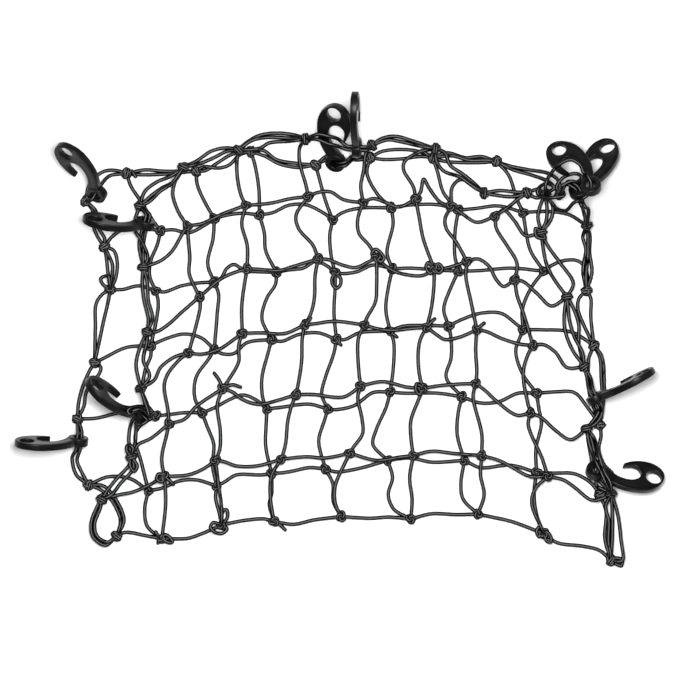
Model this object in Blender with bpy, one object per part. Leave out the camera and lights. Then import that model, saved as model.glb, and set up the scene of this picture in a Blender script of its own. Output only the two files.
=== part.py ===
"""Elastic cargo net, folded in half and laid out flat, with its ten hooks.

The net is knotted from one round elastic cord: eight meshes across and
twelve down, its edge cord doubled.  It lies folded once along its middle row
of knots, so there are two layers, each with six rows of knots above the
fold: layer B on the ground, layer T over it.  Ten moulded hooks hang on the
edge cord.  Metres, +Z up; the origin is under the middle of the folded net.
The tables are in millimetres, looking down, x to the right and y away.
"""
import bpy
import bmesh
import math
import numpy as np
from mathutils import Vector, Matrix
from mathutils.bvhtree import BVHTree

MM = 0.001
CORD = 2.7                # diameter of the elastic cord
FLAT = 1.1                # half the flat of the four-sided cord in the solid
STEP_UP = 0.35            # air kept where one cord crosses another
KNOT_R = 4.3              # from a knot's middle to where its cords leave it
KNOT_UP = 3.1             # half height of a knot
TURN = math.radians(37)   # least angle between two cords leaving a knot
REST_B, REST_T = 1.1, 5.0     # height of the cords' centre line, per layer
HIGH_B, HIGH_T, HIGH_F = 3.1, 6.4, 3.3   # height of the knots' middles

HOOK_T = 5.6              # hook plate thickness
EYE_R, BOSS_R = 4.8, 8.2  # eye in the tail, and the round boss about it
CHAMFER = 0.9
EYE_PULL = 0.8            # how far cords lie to the tail's side of the eye
EYE_ROOM = 11.5           # about an eye, the cord keeps its own height
CEILING = 900             # undersides are kept as their depth below this
STRAIGHT = 1.6            # a bend smaller than this is left out of the solid

# Hooks: node, eye x, y, heading and pitch of the shank, roll about it
# (degrees), lift over the ground, clearance added under the lowest point.
HOOKS = (
    # node                eye x    y     heading pitch  roll  lift
    ("hook_b_left",      -214.4,  -90.0,  -177,   31,  -107,  0.2),
    ("hook_t_left",      -163.6,  -68.6,   148,   28,  -120,  5.0),
    ("hook_t_corner_l",  -159.5,   87.8,   178,   32,  -114,  5.0),
    ("hook_b_corner_l",  -198.8,  112.7,   125,   32,   -49,  3.0),
    ("hook_b_middle",      -3.5,  138.5,    92,   36,   164,  3.0),
    ("hook_t_middle",      13.7,  149.8,    93,   44,   -98, 12.0),
    ("hook_t_corner_r",   204.5,  117.7,   130,  -36,    16, 10.0),
    ("hook_b_corner_r",   194.9,  114.4,    55,  -28,   -31,  0.0),
    ("hook_b_right",      209.7,  -54.9,    26,   28,   -83,  5.0),
    ("hook_t_right",      209.2, -114.4,    -8,   -6,   -33,  0.2),
)

# Hook outline, one row per corner: along the shank from the eye, across it
# (+ is the beak's side).  It runs round the outside from the shank's root.
OUTLINE = (
    (6.0, -6.6), (13, -10.2), (21, -13.0), (29, -14.2), (37, -14.2),
    (44, -12.9), (50, -9.8), (54.6, -5.0), (56.8, 0.6), (55.8, 6.4),
    (51.6, 10.8), (46, 13.3), (39, 14.1), (31.5, 13.2), (25.5, 11.0),
    (22.6, 9.2), (22.2, 7.3), (26, 8.0), (31, 8.6), (34.6, 7.2),
    (37, 4.2), (37.4, 1.0), (35.6, -2.2), (31, -4.6), (25.5, -4.9),
    (19, -3.3), (13.5, -0.2), (8.4, 4.0),
)
HEAD_HOLE = (48.0, 0.3, 6.6, 5.8, -18)   # u, v, half length, half width, turn

# Fold row: the knots and the bends of the eight strands between them.
FOLD = dict(
    knots=((-183, -168), (-146, -170), (-97, -159), (-54, -156), (1, -152),
           (58, -154), (113, -150), (167, -166), (222, -188)),
    across=(((-176, -165), (-158, -168)), ((-125, -170), (-113, -166)),
            ((-80, -155.5), (-63, -154)), ((-38, -158.5), (-22, -155)),
            ((25, -153.5), (40, -152.5)), ((75, -149.8), (95, -150.5)),
            ((122, -152), (140, -156)),
            ((178, -173.5), (200, -176.5), (213, -180))),
)
# Rows of each layer, from the fold up: knots, the bends of the eight strands
# across, and the bends of the nine strands down to the row below.
T_ROWS = (
    dict(
        knots=((-195, -138), (-144, -119), (-102, -106), (-48, -105),
               (8, -100), (60, -102), (116, -102), (170, -119), (222, -133)),
        across=(((-180, -134), (-170, -132), (-157, -126.5)),
                ((-125, -118), (-112, -113)),
                ((-95, -107), (-85, -110.5), (-68, -110.5)),
                ((-28, -103), (-12, -104)), ((30, -106), (48, -103.5)),
                ((75, -98.5), (95, -100.5)),
                ((130, -106), (140, -111), (155, -119)),
                ((183, -122), (192, -128), (206, -138.5), (215, -137))),
        down=(((-199, -144), (-204, -158), (-202, -169), (-192, -175.5)),
              ((-143, -130), (-143, -145)), ((-100, -122), (-97, -145)),
              ((-56, -118), (-57, -137)), ((4, -108), (-4, -127), (-4, -141)),
              ((57, -120), (59, -138)), ((115, -118), (118, -134)),
              ((160, -129), (157, -141)), ((223, -150), (223, -166))),
    ),
    dict(
        knots=((-171, -103), (-140, -76), (-96, -47), (-36, -52), (17, -45),
               (68, -47), (111, -43), (156, -67), (202, -80)),
        across=(((-165, -93), (-155, -88)), ((-127, -72), (-118, -62)),
                ((-88, -50), (-80, -56), (-67, -60), (-50, -56.5)),
                ((-22, -52), (3, -54)), ((35, -41.5), (55, -46)),
                ((80, -45), (97, -43.5)), ((118, -48), (130, -59), (145, -69)),
                ((165, -71), (176, -81), (189, -89))),
        down=(((-173, -110), (-183, -121), (-191, -131)),
              ((-142, -85), (-146, -104)),
              ((-100.5, -60), (-98, -82), (-98.5, -97)),
              ((-40, -62), (-43, -75), (-44.5, -92)),
              ((14.5, -54), (18, -72), (18.5, -84), (11, -95)),
              ((64, -57), (58, -73), (58, -87)), ((109, -54), (116, -84)),
              ((154, -76), (157, -86), (165, -103)),
              ((203.5, -92), (205.5, -103), (206.8, -111), (209, -118),
               (214.5, -125))),
    ),
    dict(
        knots=((-163, -47), (-124, -18), (-80, -2), (-29, 5), (20, 5),
               (71, 3), (112, 1), (158, -12), (200, -29)),
        across=(((-152, -40), (-147, -30), (-135, -21)),
                ((-113, -19), (-98, -14.5), (-87, -7)),
                ((-65, -1.5), (-45, -2)), ((-20, 6), (-5, 8)),
                ((30, 2), (42, 0.5), (58, 2)), ((79, -3), (86, -7), (98, -5)),
                ((120, -0.5), (132, -6), (146, -10.5)),
                ((166, -11), (176, -17), (186, -30))),
        down=((("eye", "hook_t_left", 1), (-172, -79), (-173, -90)),
              ((-131, -23), (-141, -35), (-144, -45), (-141, -64)),
              ((-83, -12), (-83, -25), (-90, -38)),
              ((-31, -6), (-31.5, -25), (-34, -42)),
              ((15, -6), (15.5, -34)), ((66, -6), (64, -17), (65, -36)),
              ((111, -15), (112, -34)), ((154, -19), (150, -34), (153, -56)),
              ((202, -37), ("eye", "hook_b_right", 0), (211, -68))),
    ),
    dict(
        knots=((-158, -1), (-115, 28), (-76, 51), (-18, 59), (30, 60),
               (77, 51), (104, 57), (143, 42), (186, 28)),
        across=(((-150, -0.5), (-141, 5), (-130, 15)), ((-97, 43), (-86, 48)),
                ((-66, 50.5), (-50, 49.5), (-38, 53)),
                ((-10, 58.5), (2, 54), (13, 52), (24, 57)),
                ((34, 56), (43, 49.5), (55, 46), (68, 45.5)),
                ((84, 51), (94, 53.5)), ((113, 59), (122, 53), (128, 42),
                                         (134, 36.5)),
                ((150, 40.5), (162, 30), (173, 20.5))),
        down=(((-162.5, -10), (-167, -27)), ((-114.5, 20), (-118, 4)),
              ((-78, 40), (-80.5, 20)), ((-20.5, 45), (-21, 27), (-24, 14)),
              ((30, 40), (29, 24), (22, 11)), ((77, 40), (75, 20)),
              ((103, 45), (107, 25)), ((145, 29), (150, 15)),
              ((184, 18), (184, 2), (190, -15))),
    ),
    dict(
        knots=((-161, 52), (-125, 86), (-77, 103), (-26, 110), (19, 105),
               (62, 108), (91, 102), (127, 94), (165, 81)),
        across=(((-146, 58), (-137, 66), (-130, 78)), ((-113, 88), (-96, 96)),
                ((-68, 103.5), (-55, 105), (-40, 108.5)),
                ((-18, 113.5), (-8, 114), (3, 107.5)),
                ((27, 108.5), (38, 105), (48, 101.5)),
                ((66, 114), (68.5, 124.5), (73, 117), (82, 105.5)),
                ((100, 96), (112, 89)), ((134, 99), (143, 90), (152, 78))),
        down=(((-162, 40), (-160.5, 25), (-157, 10)),
              ((-124, 72), (-123, 60), (-123.5, 47)),
              ((-80.5, 88), (-76, 70)), ((-36, 95), (-34, 84), (-22, 70)),
              ((14.5, 92), (15.5, 80), (24, 70)), ((65, 92), (68, 76)),
              ((86, 92), (87, 84), (95, 73)), ((128, 84), (136, 71), (145, 55)),
              ((166, 70), (170, 52), (179, 37))),
    ),
    dict(
        knots=((-164, 102), (-128, 134), (-83, 148), (-28, 157, 16), (26, 152),
               (78, 149), (118, 113), (153, 113), (168, 112, 8)),
        across=(((-160, 114), (-150, 122), (-138, 127)),
                ((-117, 139.5), (-105, 147.5), (-92, 150)),
                ((-77, 154), (-65, 160.5), (-50, 162), (-37, 160.5)),
                ((-18, 160.5, 18), (-10, 159, 23.5), (-2, 157, 20),
                 ("eye", "hook_t_middle", 1)),
                ((34, 157.5), (45, 159.5), (60, 155.5)),
                ((86, 146), (90, 136), (100, 129), (110, 121)),
                ((130, 115), (142, 114)), ((162, 116),)),
        down=((("eye", "hook_t_corner_l", 1), (-164.5, 70)),
              ((-134, 125), (-137, 113), (-133, 99)),
              ((-84.5, 138), (-84, 125), (-81, 111)),
              ((-33, 150), (-33, 138), (-28, 120)),
              ((21, 145), (19.5, 132), (17, 119)),
              ((66, 147), (53, 139), (52, 132), (60, 118)),
              ((110, 119, 11), (99, 124, 9), (92, 118)), ((147, 109), (137, 101)),
              ((164, 103), (162, 93))),
    ),
)
B_ROWS = (
    dict(
        knots=((-206, -126), (-157, -131), (-101, -127), (-56, -117),
               (-12, -113), (39, -106), (102, -106), (161, -116),
               (213, -134)),
        across=(((-190, -119.5), (-172, -121)),
                ((-145, -128.5), (-132, -123), (-118, -122)),
                ((-95, -124), (-85, -118), (-65, -118)),
                ((-42, -115.5), (-25, -112)), ((-3, -115.5), (14, -113)),
                ((57, -104), (75, -107.5)), ((115, -112), (140, -110)),
                ((175, -116.5), (192, -117), (205, -124))),
        down=(((-194, -127), (-185, -136), (-177, -155)),
              ((-160, -145), (-158, -160)), ((-102, -137), (-99, -149)),
              ((-56, -133), (-58, -142)), ((-6, -125), (-5.5, -140)),
              ((43, -120), (39.5, -134), (44, -146)), ((99, -125), (101, -138)),
              ((159, -132), (161, -150)), ((218, -148), (217, -170))),
    ),
    dict(
        knots=((-215, -72), (-151, -69.5), (-113, -67), (-60, -64), (-10, -64),
               (41, -50), (100, -54), (161, -51), (213, -77)),
        across=(((-200, -71.5), (-180, -67), (-168, -67)),
                ((-140, -68.5), (-128, -67)),
                ((-103, -63), (-90, -56), (-79, -52.5), (-68, -57)),
                ((-48, -62.5), (-25, -60)), ((-3, -64.5), (12, -61),
                                            (27, -50.5)),
                ((52, -51), (80, -51)), ((115, -59), (130, -58), (146, -51)),
                ((175, -50), (192, -50.5), (203, -63))),
        down=((("eye", "hook_b_left", 1), (-219.5, -104),
               (-216, -118)),
              ((-165, -79), (-168, -88), (-163, -107)),
              ((-109, -78), (-103.5, -93), (-104.5, -110)),
              ((-60.5, -76), (-61, -94)), ((-13, -74), (-17.5, -90)),
              ((38, -62), (30, -80), (27, -93)), ((97, -66), (96, -85)),
              ((163, -64), (165, -76), (160.5, -97)),
              ((214, -86), (212, -97), (216, -109), (224, -119))),
    ),
    dict(
        knots=((-201, -26), (-155, -12), (-103, -15), (-56, -7), (-3, -7),
               (41, 0), (89, 4), (150, 1), (208, -12)),
        across=(((-193, -22), (-175, -13.5)), ((-143, -6.5), (-128, -2.5),
                                              (-114, -5.5)),
                ((-97, -18.5), (-87, -18.5), (-76, -9.5)),
                ((-48, -8.5), (-34, -3), (-18, -1.5)), ((4, -7), (16, -1.5)),
                ((52, 4), (72, 4.5)), ((100, 9.5), (115, 14.5), (132, 14.5),
                                      (144, 6)),
                ((165, 1), (190, -1))),
        down=(((-205, -32), (-211, -46), (-214.5, -60)),
              ((-155, -20), (-160, -33), (-161, -55)),
              ((-107, -22), (-118, -38), (-119, -55)),
              ((-59, -18), (-64, -38), (-63.5, -54)),
              ((-5, -18), (-12, -38), (-15, -52)), ((44, -9), (43.5, -32)),
              ((91, -6), (91, -22), (87, -38)),
              ((148, -4), (144, -16), (149, -34)),
              ((204, -22), (203.5, -38), (205, -55), (210, -68))),
    ),
    dict(
        knots=((-188, 34), (-151, 33), (-103, 40), (-52, 48), (-4, 48),
               (43, 51), (97, 49), (167, 49), (202, 33)),
        across=(((-178, 34), (-165, 37)), ((-144, 32), (-130, 37), (-115, 39.5)),
                ((-97, 44), (-93, 51), (-87, 54.5), (-78, 49.5), (-66, 48.5)),
                ((-42, 50), (-30, 51.5), (-20, 57), (-11, 53.5)),
                ((2, 47), (14, 48.5), (27, 54)), ((58, 51.5), (80, 50)),
                ((115, 49.5), (140, 51.5)),
                ((174, 54), (185, 58), (196, 57), (202, 49))),
        down=(((-195, 30), (-200, 22), (-200.5, 4)), ((-149, 24), (-150, 12)),
              ((-99.5, 30), (-100.5, 16)), ((-53, 38), (-60, 27), (-64, 10)),
              ((-4, 36), (-5, 16)), ((40, 38), (37.5, 18)),
              ((91, 36), (85, 18)), ((157, 36), (149.5, 18)),
              ((196, 27), (195, 18), (202, 0))),
    ),
    dict(
        knots=((-193, 69), (-147, 82), (-103, 92), (-66, 95), (-6, 91),
               (42, 101), (97, 99), (150, 97), (202, 86, 11)),
        across=(((-187, 77), (-178, 83), (-160, 84)), ((-137, 83), (-124, 80.5),
                                                       (-112, 86)),
                ((-92, 95), (-80, 96.5)), ((-55, 97), (-42, 103), (-28, 103.5),
                                          (-14, 97)),
                ((1, 96.5), (15, 100.5)), ((55, 103), (80, 103.5)),
                ((112, 100.5), (130, 102.5)), ((168, 98), (187, 95.5))),
        down=(((-191.5, 60), (-190, 46)), ((-150, 70), (-155, 58), (-156, 45)),
              ((-104, 76), (-108.5, 55)), ((-62, 80), (-61, 66)),
              ((-8.5, 78), (-7, 60)), ((43.5, 88), (38.5, 64)),
              ((94.5, 84), (94, 62)), ((152, 84), (156, 66)),
              ((199, 77), (201.5, 67), (199, 50))),
    ),
    dict(
        knots=((-208.5, 106.5), (-175, 129), (-118, 131), (-73, 147), (-20, 136),
               (25, 142), (76, 142), (128, 139), (179.5, 111, 22)),
        across=(((-206.5, 117), (-203, 124), (-193, 131), (-183, 131.5)),
                ((-160, 132), (-145, 131)),
                ((-110, 131.5), (-100, 138), (-88, 145)),
                ((-62, 143.5), (-50, 137), (-35, 134)),
                (("eye", "hook_b_middle", 0), (10.5, 140.5, 7),
                 (14, 140, 4)),
                ((34, 147), (50, 148.8), (65, 147)),
                ((88, 146), (103, 142), (116, 143)),
                ((140, 135), (155, 132, 4), (170, 129, 12), (179, 122, 20))),
        down=(((-203, 99), (-201.5, 84), (-198, 76)),
              ((-171, 118), (-163, 106), (-155, 93)),
              ((-117, 120), (-111, 106)), ((-69.5, 135), (-66.5, 116)),
              ((-17, 125), (-12, 107)), ((22, 130), (30, 113)),
              ((80, 130), (85, 113)), ((138, 128), (145, 108)),
              (("eye", "hook_b_corner_r", 0), (199, 98, 18))),
    ),
)

# The second cord of the doubled edge, and the loose turns at the corners:
# layer and knot (row, column) at each end, then the bends.  Row 0 is the fold.
SECOND = (
    ("T", (1, 0), (0, 0), ((-193, -148), (-200, -160), (-197, -168))),
    ("T", (2, 0), (1, 0), ((-169, -112), (-180, -125), (-187, -134))),
    ("T", (3, 0), (2, 0), (("eye", "hook_t_left", 0), (-167, -82), (-168, -93))),
    ("T", (4, 0), (3, 0), ((-158, -8), (-161, -24), (-156, -37))),
    ("T", (5, 0), (4, 0), ((-158, 40), (-157, 25), (-153.5, 10))),
    ("T", (6, 0), (5, 0), (("eye", "hook_t_corner_l", 0), (-161, 70))),
    ("T", (6, 0), (6, 1), ((-155, 110.5), (-146, 117), (-135, 123))),
    ("T", (6, 1), (6, 2), ((-115, 137), (-103, 142), (-93, 147))),
    ("T", (6, 2), (6, 3), ((-72, 156), (-60, 158.5), (-42, 158))),
    ("T", (6, 3), (6, 4), ((-18, 156.3, 17), (-10, 153, 22.5), (-2, 151, 19),
                           ("eye", "hook_t_middle", 0))),
    ("T", (6, 4), (6, 5), ((39, 156.5), (50, 155), (65, 151.5))),
    ("T", (6, 5), (6, 6), ((79, 139), (85, 131), (98, 126), (110, 117.5))),
    ("T", (6, 6), (6, 7), ((130, 110.8), (142, 110))),
    ("T", (6, 7), (6, 8), ((161, 109),)),
    ("T", (6, 8), (5, 8), ((169.5, 100), (169, 91))),
    ("T", (6, 8), (5, 8), ((174, 103), (173, 92))),
    ("T", (5, 8), (4, 8), ((170, 70), (180, 56), (191, 39))),
    ("T", (4, 8), (3, 8), ((191, 19), (195.5, 5), (195.5, -10))),
    ("T", (3, 8), (2, 8), ((205, -38), ("eye", "hook_b_right", 1), (214, -69),
                           (209, -76))),
    ("T", (2, 8), (1, 8), ((206, -89), (208.5, -99),
                           ("eye", "hook_t_right", 1), (212, -128))),
    ("T", (1, 8), (0, 8), ((227, -148), (230, -170), (231, -188))),
    ("B", (1, 0), (0, 0), ((-198, -133), (-188, -142), (-182, -157))),
    ("B", (2, 0), (1, 0), (("eye", "hook_b_left", 0),
                           (-215.5, -106), (-211, -117))),
    ("B", (3, 0), (2, 0), ((-196, -30), (-201, -41), (-208, -50), (-210, -62))),
    ("B", (4, 0), (3, 0), ((-190.5, 22), (-194, 7), (-198, -12))),
    ("B", (5, 0), (4, 0), ((-185.5, 66), (-182.5, 56), (-184, 43))),
    ("B", (6, 0), (5, 0), ((-200, 98), (-197.5, 84), (-193, 76))),
    ("B", (6, 0), (6, 1), (("eye", "hook_b_corner_l", 1), (-189, 127),
                           (-182, 128.5))),
    ("B", (6, 1), (6, 2), ((-163, 128), (-140, 128.8))),
    ("B", (6, 2), (6, 3), ((-112, 134.5), (-100, 133.5), (-91, 136),
                           (-82, 144.5))),
    ("B", (6, 3), (6, 4), ((-63, 148), (-52, 140.5), (-35, 137.3))),
    ("B", (6, 4), (6, 5), (("eye", "hook_b_middle", 1), (10.5, 143.5, 7),
                           (14, 143.3, 4))),
    ("B", (6, 5), (6, 6), ((36, 140.5), (52, 141.2), (66, 143))),
    ("B", (6, 6), (6, 7), ((86, 139), (100, 138), (116, 138))),
    ("B", (6, 7), (6, 8), ((142, 132), (156, 128, 4), (169, 123, 12), (175, 118, 20))),
    ("B", (6, 8), (5, 8), (("eye", "hook_b_corner_r", 1), (203, 98, 18))),
    ("B", (5, 8), (4, 8), ((205, 77), (204.5, 65), (206.5, 48))),
    ("B", (4, 8), (3, 8), ((205.5, 27), (205.5, 12))),
    ("B", (3, 8), (2, 8), ((213, -22), (214, -38), (215, -58))),
)

# Loose cord at the far right corner: the turn that holds the corner hook, and
# the free end that lies over it.
LOOSE = (
    ("T", (6, 8), None, ((168, 120, 12), (172, 128, 24), (179, 136, 38),
                         (188, 139.5, 42), (195.5, 135, 44), (198, 129, 46),
                         ("eye", "hook_t_corner_r", 0), (190, 104, 24),
                         (184, 98, 15), (177, 100, 12), (174, 104, 14))),
    ("B", (6, 8), None, ((177, 118, 22), (182, 125, 24), (190, 128.3, 26),
                         (195.5, 127.5, 26), (197, 124.5, 26), (193.5, 121.5, 24.5),
                         (188, 122, 22), (181, 118.5, 20))),
)


def frame_of(heading, pitch, roll):
    """Axes of a hook: along its shank, toward its beak, out of its face."""
    h, b, r = (math.radians(a) for a in (heading, pitch, roll))
    u = Vector((math.cos(h) * math.cos(b), math.sin(h) * math.cos(b),
                math.sin(b)))
    left = Vector((-math.sin(h), math.cos(h), 0))
    v = left * math.cos(r) + u.cross(left) * math.sin(r)
    return u, v, u.cross(v)


def hook_loops():
    """Outer edge, head hole and eye of a hook, counter-clockwise."""
    boss = [(BOSS_R * math.cos(a), BOSS_R * math.sin(a))
            for a in (math.radians(d) for d in range(54, 306, 28))]
    outer = list(OUTLINE) + boss
    cu, cv, a, b, turn = HEAD_HOLE
    t = math.radians(turn)
    ring = [2 * math.pi * k / 10 for k in range(10)]
    head = [(cu + a * math.cos(k) * math.cos(t) - b * math.sin(k) * math.sin(t),
             cv + a * math.cos(k) * math.sin(t) + b * math.sin(k) * math.cos(t))
            for k in ring]
    eye = [(EYE_R * math.cos(k), EYE_R * math.sin(k)) for k in ring]
    return outer, head, eye


def inset(loop, d):
    """The loop moved d to its left, corner by corner."""
    out = []
    for i, p in enumerate(loop):
        a, b, c = (Vector(loop[i - 1]), Vector(p),
                   Vector(loop[(i + 1) % len(loop)]))
        n1 = (b - a).normalized()
        n2 = (c - b).normalized()
        m = Vector((-(n1 + n2).y, (n1 + n2).x))
        m.normalize()
        out.append(b + m * d / max(0.5, m.dot(Vector((-n1.y, n1.x)))))
    return out


def hook_mesh(name):
    """A flat plate with a chamfered edge, cut by its head hole and its eye."""
    bm = bmesh.new()
    half = HOOK_T / 2
    levels = ((CHAMFER, -half), (0, -half + CHAMFER), (0, half - CHAMFER),
              (CHAMFER, half))
    rims = {0: [], 3: []}
    for k, loop in enumerate(hook_loops()):
        side = 1 if k == 0 else -1
        rows = []
        for d, w in levels:
            pts = inset(loop, d * side) if d else [Vector(p) for p in loop]
            rows.append([bm.verts.new((p.x * MM, p.y * MM, w * MM))
                         for p in pts])
        for i in range(3):
            for j in range(len(loop)):
                j2 = (j + 1) % len(loop)
                bm.faces.new((rows[i][j], rows[i][j2], rows[i + 1][j2],
                              rows[i + 1][j]))
        for i in (0, 3):
            for j in range(len(loop)):
                rims[i].append(bm.edges.get((rows[i][j],
                                             rows[i][(j + 1) % len(loop)])))
    for i in (0, 3):
        bmesh.ops.triangle_fill(bm, edges=rims[i], use_beauty=True)
    bmesh.ops.recalc_face_normals(bm, faces=bm.faces)
    mesh = bpy.data.meshes.new(name)
    bm.to_mesh(mesh)
    bm.free()
    return mesh


def material(name, colour, rough):
    """A plain finish."""
    mat = bpy.data.materials.new(name)
    mat.use_nodes = True
    shader = mat.node_tree.nodes["Principled BSDF"]
    shader.inputs["Base Color"].default_value = (*colour, 1)
    shader.inputs["Roughness"].default_value = rough
    shader.inputs["Metallic"].default_value = 0
    return mat


class Map:
    """Heights over the ground in 1 mm squares, for laying cord over cord."""

    def __init__(self):
        self.x0, self.y0 = -290, -230
        self.top = np.zeros((580, 460))

    def cells(self, x, y, r):
        """The squares within r of a place."""
        xs = np.arange(math.ceil(x - r), math.floor(x + r) + 1)
        ys = np.arange(math.ceil(y - r), math.floor(y + r) + 1)
        gx, gy = np.meshgrid(xs, ys, indexing="ij")
        keep = (gx - x) ** 2 + (gy - y) ** 2 <= r * r
        return gx[keep] - self.x0, gy[keep] - self.y0

    def mark(self, x, y, r, z):
        """Something as high as z now lies there."""
        i, j = self.cells(x, y, r)
        self.top[i, j] = np.maximum(self.top[i, j], z)

    def height(self, x, y, r):
        """The highest thing within r of a place."""
        i, j = self.cells(x, y, r)
        return float(self.top[i, j].max()) if len(i) else 0.0


def curve(points, step=1.0):
    """Smooth line through the points (centripetal Catmull-Rom), fine steps."""
    p = [points[0] * 2 - points[1]] + points + [points[-1] * 2 - points[-2]]
    out = [points[0].copy()]
    for i in range(1, len(p) - 2):
        t = [0.0]
        for k in range(3):
            t.append(t[-1] + max(1e-4, (p[i + k] - p[i + k - 1]).length) ** 0.5)
        n = max(1, int(math.ceil((p[i + 1] - p[i]).length / step)))
        for s in range(1, n + 1):
            u = t[1] + (t[2] - t[1]) * s / n
            a1 = p[i - 1].lerp(p[i], (u - t[0]) / (t[1] - t[0]))
            a2 = p[i].lerp(p[i + 1], (u - t[1]) / (t[2] - t[1]))
            a3 = p[i + 1].lerp(p[i + 2], (u - t[2]) / (t[3] - t[2]))
            b1 = a1.lerp(a2, (u - t[0]) / (t[2] - t[0]))
            b2 = a2.lerp(a3, (u - t[1]) / (t[3] - t[1]))
            out.append(b1.lerp(b2, (u - t[1]) / (t[2] - t[1])))
    return out


def through_eye(hook, k, coming):
    """Points of a cord through a hook's eye, in order of travel."""
    base, (u, v, w) = hook["eye"], hook["axes"]
    du = (2 * k - 1) * (1.9 if abs(w.z) < 0.6 else 1.7)
    half = HOOK_T / 2 + CORD / 2 + 1.1
    if abs(w.z) < 0.6:
        local = [(du - EYE_PULL, 0, d) for d in (-7.5, -3, 3, 7.5)]
    elif hook["node"] == "hook_t_corner_r":
        local = [(10, -2, half), (5.5, -1.5, half), (1.2, -1, 2.4),
                 (-0.5, 1.5, -2.4), (-1.5, 5.5, -half), (-2, 9, -half)]
    elif hook["node"] == "hook_b_corner_r":
        local = [(du, 10, half), (du, 6, half), (du + 0.2, 1.6, 2.4),
                 (du / 2 - 1, -du - 0.4, -2.6), (-5.6, -4 - du, -half - 0.4),
                 (-9, -8 - du, -half)]
    elif hook["node"] == "hook_b_corner_l":
        local = [(0, 9.5, half), (0, 5.6, half), (0, 1.6, 2.4),
                 (1, -1.6, -2.4), (4, -5.6, -half), (8, -9.5, -half)]
    elif hook["node"] == "hook_b_middle":
        local = [(du - 1.5, -9.5, half), (du - 0.5, -5.6, half),
                 (du, -1.6, 2.4), (du, 1.6, -2.4),
                 (du + 1.5, 5.6, -half), (du + 3, 9.5, -half)]
    else:
        up = 1 if w.z > 0 else -1
        local = [(du, 9.5, up * half), (du, 5.6, up * half),
                 (du, 1.6, up * 2.4), (du, -1.6, -up * 2.4),
                 (du, -5.6, -up * half), (du, -9.5, -up * half)]
    pts = [base + u * a + v * b + w * c for a, b, c in local]
    if (hook["node"][-8:] != "corner_r"
            and (pts[-1] - coming).length < (pts[0] - coming).length):
        pts.reverse()
    if abs(w.z) < 0.6:
        pts[0].z = 0.4 * base.z + 0.6 * pts[0].z
        pts[-1].z = 0.4 * base.z + 0.6 * pts[-1].z
    for q in pts:
        q.z = max(q.z, REST_B)
    return pts


def simplify(points, tol, eyes):
    """Leave out points near the straight line; heights count more than the
    plan, and the passage of an eye counts more than the rest."""
    if len(points) < 3:
        return points
    a, b = points[0], points[-1]
    d = (b - a)
    n = d.length_squared or 1e-9
    worst, at = 0.0, 0
    for i in range(1, len(points) - 1):
        s = min(1, max(0, (points[i] - a).dot(d) / n))
        off = points[i] - a - d * s
        off = math.hypot(off.xy.length, 2.5 * off.z)
        if any((points[i] - e).length < 10 for e in eyes):
            off *= 2.5
        if off > worst:
            worst, at = off, i
    if worst <= tol:
        return [a, b]
    return (simplify(points[:at + 1], tol, eyes)[:-1]
            + simplify(points[at:], tol, eyes))


def knots_and_strands():
    """Knots {key: place} and strands [(key, key or None, layer, bends)]."""
    knots, strands = {}, []
    for c, (x, y) in enumerate(FOLD["knots"]):
        knots["F", 0, c] = Vector((x, y, HIGH_F))
    for layer, rows, high in (("B", B_ROWS, HIGH_B), ("T", T_ROWS, HIGH_T)):
        for r, row in enumerate(rows, 1):
            for c, (x, y, *z) in enumerate(row["knots"]):
                knots[layer, r, c] = Vector((x, y, *(z or (high,))))

    def key(layer, rc):
        """Row 0 is the fold, which both layers share."""
        return ("F", 0, rc[1]) if rc[0] == 0 else (layer, *rc)

    for c, bends in enumerate(FOLD["across"]):
        strands.append((("F", 0, c), ("F", 0, c + 1), "B", bends))
    for layer, rows in (("B", B_ROWS), ("T", T_ROWS)):
        for r, row in enumerate(rows, 1):
            for c, bends in enumerate(row["across"]):
                strands.append(((layer, r, c), (layer, r, c + 1), layer, bends))
            for c, bends in enumerate(row["down"]):
                strands.append(((layer, r, c), key(layer, (r - 1, c)), layer,
                                bends))
        for on, a, b, bends in SECOND + LOOSE:
            if on == layer:
                strands.append((key(on, a), key(on, b) if b else None, on,
                                bends))
    return knots, strands


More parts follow.
